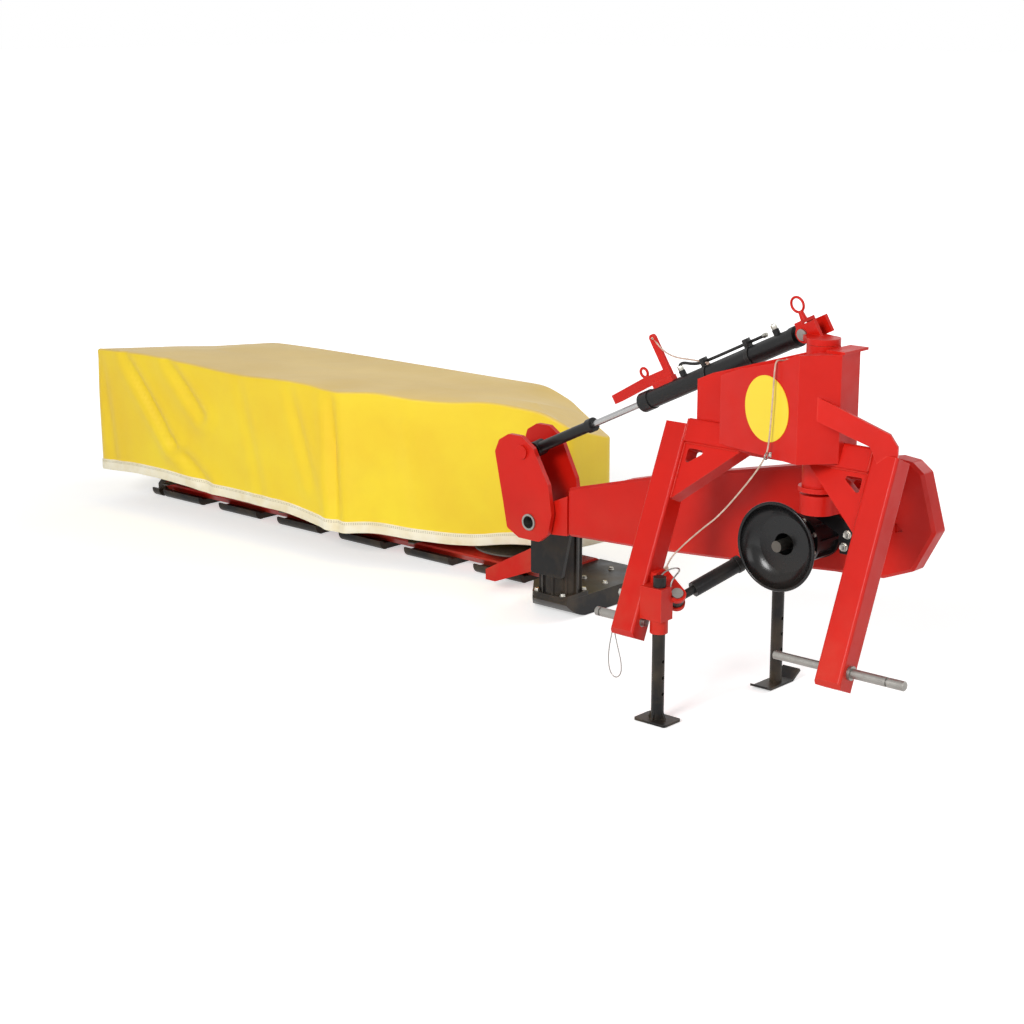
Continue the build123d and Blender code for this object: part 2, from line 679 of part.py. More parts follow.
for s in (-1, 1):
    pin = pin + between(anchor, tilt_axis, s * fork_out, s * (fork_out + PIN_HEAD), PIN_HEAD_R)
    head_room = s * (fork_out + 2 * PIN_HEAD)
    king = king - between(anchor, tilt_axis, s * fork_out, head_room, PIN_HEAD_R + FORK_GAP)
king = king - between(anchor, tilt_axis, -fork_half, fork_half, BARREL_EYE_R + EYE_ROOM)
step("king_post", king - pin_hole)
step("anchor_pin", pin)

# Lift cylinder: barrel with gland, eye and port, chromed rod and long rod end
barrel = between(anchor, pull, BARREL_NECK, BARREL_LONG, BARREL_R)
barrel = barrel + between(anchor, pull, ANCHOR_PIN_R, BARREL_NECK + GLAND_LONG, EYE_STEM_R)
barrel = barrel + between(anchor, pull, BARREL_LONG - GLAND_LONG, BARREL_LONG, GLAND_R)
barrel = barrel + between(anchor, pull, BARREL_NECK, BARREL_NECK + GLAND_LONG / 2, GLAND_R)
barrel = barrel + between(anchor, tilt_axis, -BARREL_EYE_WIDE / 2, BARREL_EYE_WIDE / 2, BARREL_EYE_R)
for at in PORT_AT:
    barrel = barrel + lift_frame * bar((at, 0, 0), (at, PORT_TALL, 0), PORT_R)
barrel = barrel - between(anchor, tilt_axis, -OVERCUT, OVERCUT, ANCHOR_PIN_R + RUN_GAP)
step("lift_barrel", barrel - between(anchor, pull, ROD_ROOM, BARREL_LONG + OVERCUT, CHROME_R + RUN_GAP))
end_start = reach - ROD_END_LONG
step("lift_rod", between(anchor, pull, ROD_ROOM + ROD_BURIED, end_start, CHROME_R))
rod_end = between(anchor, pull, end_start, reach - ROD_CROSS_R, ROD_END_R)
rod_end = rod_end + between(anchor, pull, end_start, end_start + LOCK_NUT_LONG, LOCK_NUT_R)
rod_end = rod_end + between(eye_pin, tilt_axis, -ROD_EYE_WIDE / 2, ROD_EYE_WIDE / 2, ROD_EYE_R)
cross = between(eye_pin, tilt_axis, -ROD_CROSS_LONG / 2, ROD_CROSS_LONG / 2, ROD_CROSS_R)
step("lift_rod_end", rod_end + cross)

# Transport lock on the barrel: hook bar, lever and ring
lock = extrude(make_face(Polyline([
    (LOCK_NEAR, LOCK_LOW), (LOCK_NEAR, LOCK_LOW + LOCK_WIDE), (LOCK_BEND, LOCK_LOW + LOCK_WIDE),
    (LOCK_TIP, LOCK_LOW + LOCK_WIDE - LOCK_DROP), (LOCK_TIP, LOCK_LOW - LOCK_HOOK),
    (LOCK_TIP - LOCK_WIDE, LOCK_LOW - LOCK_HOOK), (LOCK_BEND, LOCK_LOW),
], close=True)), LOCK_THICK / 2, both=True)
lock = lock + block(LOCK_NEAR, LOCK_NEAR + LEVER_WIDE, LOCK_LOW, LEVER_REACH, -LEVER_THICK / 2,
                    LEVER_THICK / 2)
lock = lock + Pos(LOCK_NEAR + LEVER_WIDE / 2, LEVER_REACH, 0) * Cylinder(LEVER_WIDE / 2, LEVER_THICK)
lock = lock - Pos(LOCK_NEAR + LEVER_WIDE / 2, LEVER_REACH, 0) * Cylinder(LEVER_HOLE_R, LOCK_THICK)
lock = lock + Pos(LOCK_RING_AT, LOCK_LOW + LOCK_WIDE + LOCK_RING_R, 0) * Torus(LOCK_RING_R, LOCK_RING_WIRE)
foot = block(LOCK_NEAR, LOCK_NEAR + LOCK_FOOT, BARREL_R / 2, LOCK_LOW + LOCK_THICK / 2, -LOCK_THICK,
             LOCK_THICK)
foot = foot - x_rod(0, 0, BARREL_R, LOCK_NEAR - OVERCUT, LOCK_TIP)
step("transport_lock", lift_frame * (lock + foot))

# Crank from the king post back to the arm, pocketed on both sides
tail_x0, tail_x1 = CRANK_TAIL
hub = z_rod(PIVOT_X, PIVOT_Y, CRANK_HUB_R, CRANK_LOW, CRANK_TOP)
crank_plan = [
    (PIVOT_X - CRANK_HUB_R, PIVOT_Y), (PIVOT_X + CRANK_HUB_R, PIVOT_Y), (tail_x1, ARM_FRONT),
    (tail_x0, ARM_FRONT),
]
pocket_plan = [
    (PIVOT_X - CRANK_HUB_R + CRANK_RIB, PIVOT_Y), (PIVOT_X + CRANK_HUB_R - CRANK_RIB, PIVOT_Y),
    (tail_x1 - CRANK_RIB, ARM_FRONT - CRANK_RIB), (tail_x0 + CRANK_RIB, ARM_FRONT - CRANK_RIB),
]
crank = xy_plate(crank_plan, CRANK_LOW, CRANK_TOP)
crank = crank - xy_plate(pocket_plan, CRANK_TOP - CRANK_POCKET, CRANK_TOP + OVERCUT, TUBE_ROUND)
crank = crank - xy_plate(pocket_plan, CRANK_LOW - OVERCUT, CRANK_LOW + CRANK_POCKET, TUBE_ROUND)
step("swing_crank", (crank + hub) - z_rod(PIVOT_X, PIVOT_Y, KING_R, CRANK_LOW - OVERCUT, CRANK_TOP + OVERCUT))

# Belt guard: rounded outline with a bevelled front edge and a vent
guard = xz_plate(GUARD_OUTLINE, ARM_FRONT, arm_mid, GUARD_ROUND)
front_edges = guard.faces().sort_by(Axis.Y)[0].edges()
guard = chamfer(front_edges, GUARD_BEVEL)
guard = guard - xz_plate(VENT, ARM_FRONT - OVERCUT, ARM_FRONT + VENT_DEEP, VENT_ROUND)
guard = guard - block(*POCKET_X, ARM_FRONT + POCKET_SKIN, arm_back, *POCKET_Z)
step("belt_guard", guard)

# Arm behind the guard, with its nose at the fold hinge
hinge_room = y_rod(HINGE_X, HINGE_Z, HINGE_R, ARM_FRONT - OVERCUT, arm_back + OVERCUT)
arm = xz_plate(ARM_OUTLINE, arm_mid, arm_back)
arm = arm + xz_plate(ARM_NOSE, ARM_FRONT, arm_mid)
arm = arm - z_rod(*rear_stand, STAND_R + RUN_GAP, 0, REAR_STAND_TOP + OVERCUT)
step("arm_beam", arm - hinge_room)
hinge = y_rod(HINGE_X, HINGE_Z, HINGE_R, ARM_FRONT, arm_back)
shaft_room = y_rod(HINGE_X, HINGE_Z, FOLD_SHAFT_R + RUN_GAP, ARM_FRONT - OVERCUT, arm_back + OVERCUT)
step("hinge_tube", hinge - shaft_room)

# Ribbed input housing with its neck
housing = y_rod(0, INPUT_Z, DRUM_R, DRUM_FRONT, ARM_FRONT)
housing = housing + y_rod(0, INPUT_Z, NECK_R, NECK_FRONT, DRUM_FRONT)
housing = housing + y_rod(0, INPUT_Z, DRUM_RIB_R, ARM_FRONT - DRUM_FLANGE, ARM_FRONT)
housing = housing + y_rod(0, INPUT_Z, DRUM_RIB_R, DRUM_FRONT, DRUM_FRONT + DRUM_FLANGE)
for i in range(DRUM_RIBS):
    rib = block(0, DRUM_RIB_R, DRUM_FRONT, ARM_FRONT, -DRUM_RIB_THICK / 2, DRUM_RIB_THICK / 2)
    housing = housing + Pos(0, 0, INPUT_Z) * Rot(0, i * 360 / DRUM_RIBS, 0) * rib
housing = housing - y_rod(0, INPUT_Z, INPUT_SHAFT_R + RUN_GAP, DRUM_FRONT - OVERCUT, ARM_FRONT + OVERCUT)
step("input_housing", housing - y_rod(0, INPUT_Z, BOWL_HOLE_R, NECK_FRONT - OVERCUT, DRUM_FRONT))

# Input shaft with its stub
shaft = y_rod(0, INPUT_Z, INPUT_SHAFT_R, DRUM_FRONT, ARM_FRONT - SHAFT_SHORT)
step("input_shaft", shaft + y_rod(0, INPUT_Z, SPLINE_R, SPLINE_TIP_Y, DRUM_FRONT))

# Shield bowl: curved wall, rolled rim and a seat on the neck
bowl_front = NECK_FRONT - BOWL_DEEP
mid_r = (BOWL_MOUTH_R + BOWL_BACK_R) / 2 + BOWL_BULGE
mid_y = (bowl_front + NECK_FRONT) / 2
bowl_face = outline((BOWL_HOLE_R, NECK_FRONT), [
    (BOWL_BACK_R, NECK_FRONT),
    ((mid_r, mid_y), (BOWL_MOUTH_R, bowl_front)),
    (BOWL_MOUTH_R - BOWL_WALL, bowl_front),
    ((mid_r - BOWL_WALL, mid_y - BOWL_WALL / 2), (BOWL_BACK_R - BOWL_WALL, NECK_FRONT - BOWL_WALL)),
    (BOWL_HOLE_R, NECK_FRONT - BOWL_WALL),
])
bowl = revolve(bowl_face, Axis.Y)
bowl = bowl + Pos(0, bowl_front, 0) * Rot(90, 0, 0) * Torus(BOWL_MOUTH_R - BOWL_WALL / 2, RIM_R)
step("shield_bowl", Pos(0, 0, INPUT_Z) * bowl)

# Bracket under the crank beside the bowl
step("shield_bracket", xz_plate(SHIELD_BRACKET, DRUM_FRONT, DRUM_FRONT + SHIELD_BRACKET_THICK))

# Strut lug on the guard: two rounded cheeks on a back plate
bx, by, bz = STRUT_B
lug = block(bx - LUG_WIDE / 2, bx + LUG_WIDE / 2, by + LUG_BACK, ARM_FRONT, bz - LUG_HALF, bz + LUG_HALF)
for low in (bz - LUG_HALF, bz + LUG_HALF - LUG_CHEEK):
    lug = lug + block(bx - LUG_WIDE / 2, bx + LUG_WIDE / 2, by, ARM_FRONT, low, low + LUG_CHEEK)
    lug = lug + z_rod(bx, by, LUG_WIDE / 2, low, low + LUG_CHEEK)
lug = lug + z_rod(bx, by, LUG_BOSS_R, bz + LUG_HALF, bz + LUG_HALF + LUG_BOSS)
step("strut_lug", lug + z_rod(bx, by, LUG_BOSS_R, bz - LUG_HALF - LUG_BOSS, bz - LUG_HALF))

# Breakaway strut: sleeve with its eye and rod with its end
sleeve = between(strut_a, push, SLEEVE_START, SLEEVE_LONG, SLEEVE_R)
sleeve = sleeve + between(strut_a, push, SLEEVE_LONG - SLEEVE_LIP, SLEEVE_LONG, SLEEVE_R + PIN_HEAD / 2)
sleeve = sleeve + between(strut_a, push, STRUT_PIN_R, SLEEVE_START + SLEEVE_LIP / 2, STRUT_PIN_R)
sleeve = sleeve + between(strut_a, strut_axis, -STRUT_EYE_WIDE / 2, STRUT_EYE_WIDE / 2, STRUT_EYE_R)
sleeve = sleeve - between(strut_a, strut_axis, -OVERCUT, OVERCUT, STRUT_PIN_R + RUN_GAP)
rod_room = between(strut_a, push, SLEEVE_BORE, SLEEVE_LONG + OVERCUT, STRUT_ROD_R + RUN_GAP)
step("strut_sleeve", sleeve - rod_room)
rod = between(strut_a, push, SLEEVE_BORE + ROD_BURIED, strut_long - ROD_NECK, STRUT_ROD_R)
rod = rod + between(strut_a, push, strut_long - ROD_NECK, strut_long - STRUT_NECK_R, STRUT_NECK_R)
rod = rod + z_rod(bx, by, STRUT_TIP_R, bz - STRUT_EYE_WIDE / 2, bz + STRUT_EYE_WIDE / 2)
step("strut_rod", rod + z_rod(bx, by, STRUT_TIP_PIN, bz - STRUT_TIP_HALF, bz + STRUT_TIP_HALF))

# Front stand: tube with pin holes on a flat foot with gussets
foot_x, foot_y = FRONT_FOOT
stand = z_rod(stand_x, stand_y, STAND_R, GROUND, FRONT_STAND_TOP)
stand = stand + Pos(stand_x, stand_y, GROUND) * rounded_tube(foot_x, foot_y, FOOT_THICK, TUBE_ROUND)
gusset = [
    (0, GROUND), (foot_y / 2 - FOOT_THICK, GROUND), (STAND_R, GROUND + FOOT_RIB),
    (0, GROUND + FOOT_RIB),
]
for i in range(4):
    stand = stand + Pos(stand_x, stand_y, 0) * Rot(0, 0, 90 * i) * xz_plate(gusset, -GUSSET / 2, GUSSET / 2)
for i in range(STAND_HOLES):
    stand = stand - x_rod(stand_y, STAND_HOLE_LOW + i * STAND_HOLE_PITCH, STAND_HOLE_R,
                          stand_x - OVERCUT, stand_x + OVERCUT)
step("front_stand", stand)

# Rear stand: tube with pin holes on a ski foot with a raised heel
rear_x, rear_y = rear_stand
ski_wide, ski_long = REAR_FOOT
ski = [
    (-ski_long / 2, GROUND + HEEL_RISE / 3), (-ski_long / 2 + HEEL_LONG / 2, GROUND),
    (ski_long / 2 - HEEL_LONG, GROUND), (ski_long / 2, GROUND + HEEL_RISE),
    (ski_long / 2 - FOOT_THICK / 2, GROUND + HEEL_RISE + FOOT_THICK),
    (ski_long / 2 - HEEL_LONG - FOOT_THICK / 2, GROUND + FOOT_THICK),
    (-ski_long / 2 + HEEL_LONG / 2, GROUND + FOOT_THICK),
    (-ski_long / 2, GROUND + FOOT_THICK + HEEL_RISE / 3),
]
stand = z_rod(rear_x, rear_y, STAND_R, GROUND, REAR_STAND_TOP)
stand = stand + Pos(rear_x, rear_y, 0) * yz_plate(ski, -ski_wide / 2, ski_wide / 2)
for i in range(STAND_HOLES):
    stand = stand - x_rod(rear_y, REAR_HOLE_LOW + i * STAND_HOLE_PITCH, STAND_HOLE_R,
                          rear_x - OVERCUT, rear_x + OVERCUT)
step("rear_stand", stand)

# Knuckle of the cutterbar: two cheeks, one web, pin bosses
knuckle = xz_plate(KNUCKLE_WEB, cheek_front, cheek_back)
tall = [(x, z + REAR_CHEEK_RISE if z > ROD_PIN_Z else z) for x, z in CHEEK_OUTLINE]
for points, y0, y1, yb in (
    (CHEEK_OUTLINE, cheek_front, cheek_front + CHEEK_THICK, cheek_front - BOSS_LONG),
    (tall, cheek_back - CHEEK_THICK, cheek_back, cheek_back),
):
    knuckle = knuckle + xz_plate(points, y0, y1, CHEEK_ROUND)
    knuckle = knuckle + y_rod(ROD_PIN_X, ROD_PIN_Z, BOSS_R, yb, yb + BOSS_LONG)
fold_room = y_rod(HINGE_X, HINGE_Z, FOLD_SHAFT_R, cheek_front - OVERCUT, cheek_back + 2 * OVERCUT)
step("knuckle_arm", knuckle - fold_room)
shaft_front = cheek_front - SHAFT_OUT
shaft_back = cheek_back + 2 * MOUNT_PLATE
shaft = y_rod(HINGE_X, HINGE_Z, FOLD_SHAFT_R, shaft_front, shaft_back)
step("fold_shaft", shaft - y_rod(HINGE_X, HINGE_Z, FOLD_SHAFT_BORE, shaft_front - OVERCUT, arm_back))

# Gearbox: ribbed drum between two flanges, bolted to the rear cheek
gear = z_rod(GEAR_X, GEAR_Y, GEAR_DRUM_R, GEAR_LOW, GEAR_TOP)
for low in (GEAR_LOW, GEAR_TOP - GEAR_FLANGE_THICK):
    flange = rounded_tube(GEAR_FLANGE, 2 * (GEAR_Y - cheek_back), GEAR_FLANGE_THICK, GEAR_ROUND)
    gear = gear + Pos(GEAR_X, GEAR_Y, low) * flange
for i in range(GEAR_RIBS):
    rib = block(0, GEAR_RIB_R, -GEAR_RIB_THICK / 2, GEAR_RIB_THICK / 2, GEAR_LOW, GEAR_TOP)
    gear = gear + Pos(GEAR_X, GEAR_Y, 0) * Rot(0, 0, i * 360 / GEAR_RIBS) * rib
gear = gear + z_rod(GEAR_X, GEAR_Y, GEAR_CAP_R, GEAR_TOP, GEAR_TOP + GEAR_FLANGE_THICK)
gear = gear + xz_plate(GEAR_MOUNT, cheek_back, cheek_back + MOUNT_PLATE, TUBE_ROUND)
gear = gear - block(2 * HINGE_X, 0, cheek_front, cheek_back, GEAR_LOW - OVERCUT, GEAR_TOP + 2 * OVERCUT)
gear = gear - fold_room
step("bevel_gearbox", gear)

# Inner shoe: runner with an upturned nose
shoe_side = outline((BAR_BACK, SHOE_TOP), [
    (BAR_BACK, GROUND + SHOE_HEEL), (BAR_BACK - 2 * SHOE_HEEL, GROUND), (SHOE_FRONT + SHOE_CURL, GROUND),
    ((SHOE_FRONT + SHOE_CURL / 3, GROUND + SHOE_CURL / 4), (SHOE_FRONT, SHOE_TOP - SHOE_SOLE)),
    (SHOE_FRONT, SHOE_TOP),
])
shoe = Rot(0, 0, 90) * Rot(90, 0, 0) * extrude(shoe_side, SHOE_INNER_X - BAR_INNER_X)
shoe = Pos(BAR_INNER_X - shoe.bounding_box().min.X, 0, 0) * shoe
shoe = shoe - xy_plate([
    (BAR_INNER_X - OVERCUT, SHOE_FRONT - OVERCUT), (BAR_INNER_X + SHOE_CUT_X, SHOE_FRONT - OVERCUT),
    (BAR_INNER_X + SHOE_CUT_X, SHOE_FRONT), (BAR_INNER_X, SHOE_FRONT + SHOE_CUT_Y),
    (BAR_INNER_X - OVERCUT, SHOE_FRONT + SHOE_CUT_Y),
], GROUND - OVERCUT, SHOE_TOP + OVERCUT)
step("inner_shoe", shoe)

# Sloping brace from the gearbox down to the front of the bar
brace = xz_plate(BAR_BRACE, BRACE_FRONT, BRACE_FRONT + MOUNT_PLATE)
foot_x0, foot_x1, foot_z0, foot_z1 = BAR_BRACE_FOOT
brace = brace + block(foot_x0, foot_x1, BRACE_FRONT, BAR_FRONT, foot_z0, foot_z1)
step("bar_brace", brace - gear)

# Cutterbar: tapered section with round disc stations
bar_end = DISC_X - DISC_PITCH * (DISC_COUNT - 1) - BAR_END
bar_side = [
    (BAR_FRONT, BAR_LOW + BAR_SHARE), (BAR_FRONT + BAR_SHARE, BAR_LOW), (BAR_BACK - BAR_SHARE, BAR_LOW),
    (BAR_BACK, BAR_LOW + BAR_SHARE), (BAR_BACK, BAR_TOP - BAR_SHARE / 2), (BAR_BACK - BAR_SHARE, BAR_TOP),
    (BAR_FRONT + 2 * BAR_SHARE, BAR_TOP), (BAR_FRONT, BAR_TOP - BAR_SHARE + FORK_GAP),
]
cutterbar = yz_plate(bar_side, bar_end, BAR_INNER_X)
blade_plan = [
    (BLADE_ROOT, -BLADE_WIDE / 2), (BLADE_REACH - BLADE_WIDE / 2, -BLADE_WIDE / 2), (BLADE_REACH, 0),
    (BLADE_REACH - BLADE_WIDE / 6, BLADE_WIDE / 2), (BLADE_ROOT, BLADE_WIDE / 2),
]
disc_face = outline((0, DISC_TOP), [
    (CROWN_R, DISC_TOP),
    ((CROWN_R + (HUB_R - CROWN_R) * 0.6, DISC_TOP - HUB_R / 7), (HUB_R, DISC_TOP - HUB_R / 3)),
    (DISC_R, DISC_LOW + DISC_SKIN), (DISC_R, DISC_LOW), (0, DISC_LOW),
])
disc_face = Rot(90, 0, 0) * disc_face
skid_face = outline((BAR_BACK + SKID_HEEL, BAR_LOW), [
    (BAR_BACK + SKID_HEEL, GROUND + SKID_SOLE), (BAR_BACK, GROUND), (BAR_FRONT + SKID_SOLE, GROUND),
    ((BAR_FRONT - SKID_NOSE * 0.7, GROUND + SKID_SOLE), (BAR_FRONT - SKID_NOSE, BAR_LOW + BAR_SHARE / 2)),
    (BAR_FRONT - SKID_NOSE + SKID_SOLE, BAR_LOW + BAR_SHARE / 2), (BAR_FRONT - SKID_SOLE / 2, BAR_LOW),
])
for i in range(DISC_COUNT):
    x = DISC_X - DISC_PITCH * i
    skid = Rot(0, 0, 90) * Rot(90, 0, 0) * extrude(skid_face, SKID_WIDE)
    skid = Pos(x - SKID_WIDE / 2 - skid.bounding_box().min.X, 0, 0) * skid
    step("skid_%d" % (i + 1), skid)
    cutterbar = cutterbar + z_rod(x, DISC_Y, STATION_R, BAR_TOP - FORK_GAP, BAR_TOP + STATION_TALL)
    cutterbar = cutterbar - z_rod(x, DISC_Y, SPINDLE_R + RUN_GAP, BAR_LOW + SPINDLE_FLOOR, DISC_TOP)
    disc = revolve(disc_face, Axis.Z)
    disc = disc + z_rod(0, 0, SPINDLE_R, BAR_LOW + SPINDLE_FLOOR + FORK_GAP, DISC_LOW + FORK_GAP)
    for turn_blade in (0, 180):
        blade = xy_plate(blade_plan, BLADE_LOW, BLADE_LOW + BLADE_THICK)
        blade = blade + z_rod(BLADE_BOLT_AT, 0, BLADE_BOLT_R, BLADE_LOW, DISC_LOW + FORK_GAP)
        disc = disc + Rot(0, 0, turn_blade + 90 * (i % 2)) * blade
    step("disc_%d" % (i + 1), Pos(x, DISC_Y, 0) * disc)
step("cutterbar", cutterbar)

# Outer shoe on the end of the bar
outer = Rot(0, 0, 90) * Rot(90, 0, 0) * extrude(skid_face, OUTER_SHOE_WIDE)
outer = Pos(bar_end - OUTER_SHOE_WIDE - outer.bounding_box().min.X, 0, 0) * outer
tail = yz_plate([
    (BAR_FRONT, BAR_LOW - FORK_GAP), (BAR_BACK + SKID_HEEL, BAR_LOW - FORK_GAP),
    (BAR_BACK + SKID_HEEL, BAR_LOW + BAR_SHARE), (BAR_BACK - BAR_SHARE, BAR_TOP - SKID_SOLE),
    (BAR_FRONT + BAR_SHARE, BAR_TOP - SKID_SOLE), (BAR_FRONT, BAR_LOW + BAR_SHARE),
], bar_end - OUTER_SHOE_WIDE, bar_end)
step("outer_shoe", outer + tail)


# Canopy cloth: walls and roof of one skin with two sloping corners
def over_hip(points, drop):
    p, q, r = (Vector(*point) for point in points)
    normal = (q - p).cross(r - p).normalized()
    if normal.Z < 0:
        normal = normal * -1
    plane = Plane(origin=p - normal * drop, z_dir=normal)
    return plane * Box(HIP_BOX, HIP_BOX, HIP_BOX / 4, align=(Align.CENTER, Align.CENTER, Align.MIN))


roof_plan = make_face(Polyline([(x, y, 0) for x, y in CANOPY_PLAN], close=True))
outside = Pos(0, 0, CANOPY_LOW) * extrude(roof_plan, CANOPY_TOP - CANOPY_LOW, dir=(0, 0, 1))
inner_plan = offset(roof_plan, -CLOTH, kind=Kind.INTERSECTION)
inside = Pos(0, 0, CANOPY_LOW - OVERCUT) * extrude(inner_plan, CANOPY_TOP - CANOPY_LOW - CLOTH + OVERCUT,
                                                   dir=(0, 0, 1))
for hip in (INNER_HIP, OUTER_HIP):
    outside = outside - over_hip(hip, 0.0)
    inside = inside - over_hip(hip, CLOTH)
step("canopy_cloth", outside - inside)

# Canopy frame: spine, rails round the edge, ribs with flat straps and the post on the shoe
frame = x_rod(SPINE_Y, SPINE_Z, SPINE_R, SPINE_END_X, POST_X)
for points in (FRONT_RAIL, REAR_RAIL):
    for p, q in zip(points, points[1:]):
        frame = frame + bar(p, q, FRAME_R)
        frame = frame + Pos(*q) * Sphere(FRAME_R)
for x, rib_front in RIBS:
    rib_z = CANOPY_TOP - CLOTH - RIB_STRAP - RIB_R + FORK_GAP
    frame = frame + bar((x, rib_front, rib_z), (x, RIB_BACK, rib_z), RIB_R)
    frame = frame + block(x - FRAME_R, x + FRAME_R, rib_front, RIB_BACK, CANOPY_TOP - CLOTH - RIB_STRAP,
                          CANOPY_TOP - CLOTH)
    frame = frame + z_rod(x, SPINE_Y, RIB_R, SPINE_Z, rib_z)
post = block(POST_X - POST_THICK, POST_X, SPINE_Y - POST_WIDE / 2, SPINE_Y + POST_WIDE / 2, SHOE_TOP,
             SPINE_Z + SPINE_R - FORK_GAP)
step("canopy_frame", frame + post)
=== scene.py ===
"""Looks of a rear mounted disc mower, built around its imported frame."""
import math

import bmesh
import bpy
from bpy.props import FloatProperty, FloatVectorProperty, IntProperty, PointerProperty
from mathutils import Matrix, Vector, noise


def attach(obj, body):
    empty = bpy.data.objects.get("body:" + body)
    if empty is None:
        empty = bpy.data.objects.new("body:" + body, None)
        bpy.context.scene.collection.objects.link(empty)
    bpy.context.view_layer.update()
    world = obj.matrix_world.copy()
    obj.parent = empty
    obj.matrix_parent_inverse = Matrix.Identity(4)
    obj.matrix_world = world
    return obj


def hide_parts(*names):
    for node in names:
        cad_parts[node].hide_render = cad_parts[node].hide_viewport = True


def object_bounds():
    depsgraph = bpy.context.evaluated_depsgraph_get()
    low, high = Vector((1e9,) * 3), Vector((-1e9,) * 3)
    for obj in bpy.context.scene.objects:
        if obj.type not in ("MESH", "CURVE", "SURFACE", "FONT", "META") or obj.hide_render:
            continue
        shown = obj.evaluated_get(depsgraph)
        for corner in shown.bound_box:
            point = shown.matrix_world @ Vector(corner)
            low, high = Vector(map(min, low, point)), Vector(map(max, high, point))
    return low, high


bl_info = {
    "name": "Disc Mower Looks",
    "version": (1, 0, 0),
    "blender": (4, 5, 0),
    "location": "View3D > Sidebar > Mower",
    "description": "Paints the packed mower and adds its canopy, ropes and hardware",
    "category": "Object",
}

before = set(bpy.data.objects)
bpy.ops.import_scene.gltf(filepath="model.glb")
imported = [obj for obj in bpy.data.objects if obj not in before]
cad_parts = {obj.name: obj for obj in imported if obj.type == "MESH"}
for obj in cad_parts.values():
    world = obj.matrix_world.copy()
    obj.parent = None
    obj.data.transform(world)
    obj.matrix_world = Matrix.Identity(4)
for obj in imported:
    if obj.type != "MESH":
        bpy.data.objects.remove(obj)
cad_low, cad_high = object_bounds()

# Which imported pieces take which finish, with bare dark steel for the rest
PIECES_BY_FINISH = {
    "red_paint": (
        "leg_left", "leg_right", "cross_beam", "corner_brace_left", "corner_brace_right",
        "mast_box", "upper_brace_left", "upper_brace_right", "stand_bracket", "king_post",
        "swing_crank", "belt_guard", "arm_beam", "hinge_tube", "knuckle_arm", "cutterbar",
        "pivot_tube", "bar_brace", "transport_lock"),
    "black_paint": (
        "front_stand", "rear_stand", "lift_barrel", "lift_rod_end", "strut_sleeve", "strut_rod",
        "bevel_gearbox", "canopy_frame", "input_housing", "strut_lug", "shield_bracket",
        "inner_shoe", "outer_shoe", "skid_1", "skid_2", "skid_3", "skid_4", "skid_5", "skid_6"),
    "plated_steel": (
        "lower_pin_left", "lower_pin_right", "anchor_pin", "fold_shaft", "strut_pin_fixed"),
    "bowl_plastic": ("shield_bowl",),
    "input_steel": ("input_shaft",),
    "chrome_rod": ("lift_rod",),
    "yellow_cloth": ("canopy_cloth",),
    "label_yellow": ("label_plate",),
}

# The camera's sensor in millimetres and how far it sees in metres
SENSOR_WIDTH, VIEW_END = 36.0, 300.0
# Lamps: place, width in metres and power in watts
LAMPS = {
    "key_lamp": ((0.5, -7.5, 4.2), 2.6, 500.0),
    "fill_lamp": ((6.5, -2.5, 3.0), 4.0, 110.0),
    "back_lamp": ((1.5, 6.0, 5.0), 4.0, 150.0),
}
# The floor under the mower's middle is seen as it is, and turns white with the distance from it
FLOOR_GAP = 0.001
GLOW_CENTRE = (-1.6, 0.7, 0.0)
GLOW_START, GLOW_FULL = 2.2, 6.5
GLOW_LEAST = 0.5

# The cover's walls, station by station: place in plan, fold at the top, hem at the bottom
FRONT_WALL = (
    (-3.866, 0.652, 0.374, -0.158), (-3.620, 0.650, 0.385, -0.140), (-3.440, 0.650, 0.386, -0.140),
    (-3.240, 0.650, 0.380, -0.146), (-3.040, 0.650, 0.371, -0.156), (-2.890, 0.650, 0.369, -0.156),
    (-2.660, 0.650, 0.381, -0.158), (-2.500, 0.650, 0.380, -0.178), (-2.400, 0.652, 0.368, -0.190),
    (-2.346, 0.654, 0.369, -0.190), (-2.190, 0.708, 0.379, -0.176), (-2.060, 0.755, 0.364, -0.188),
    (-1.900, 0.812, 0.362, -0.193), (-1.785, 0.852, 0.374, -0.186), (-1.700, 0.868, 0.376, -0.166),
    (-1.600, 0.890, 0.366, -0.152), (-1.520, 0.907, 0.360, -0.150), (-1.406, 0.931, 0.313, -0.150),
)
BACK_WALL = (
    (-1.402, 0.946, 0.309, -0.150), (-1.402, 1.060, 0.275, -0.156), (-1.402, 1.190, 0.237, -0.160),
    (-1.560, 1.268, 0.273, -0.164), (-1.730, 1.347, 0.315, -0.166), (-1.860, 1.347, 0.362, -0.166),
    (-2.300, 1.347, 0.364, -0.160), (-2.700, 1.347, 0.366, -0.164), (-3.200, 1.347, 0.366, -0.158),
    (-3.450, 1.347, 0.362, -0.162), (-3.700, 1.347, 0.326, -0.160), (-3.868, 1.345, 0.301, -0.158),
    (-3.870, 1.100, 0.330, -0.166), (-3.870, 0.850, 0.354, -0.162),
)
# Creases pressed into the front wall, each from its top to its foot along X and Z, with depth
CREASES = (
    (-3.66, 0.36, -3.36, 0.02, 0.024), (-3.36, 0.02, -3.14, -0.12, 0.018),
    (-3.38, 0.37, -3.16, 0.17, 0.020), (-3.83, 0.33, -3.76, -0.10, 0.008),
    (-2.395, 0.33, -2.365, -0.17, 0.024), (-2.62, 0.34, -2.50, -0.02, 0.010),
    (-2.93, 0.34, -2.80, -0.12, 0.005), (-2.10, 0.34, -2.02, -0.10, 0.004),
)
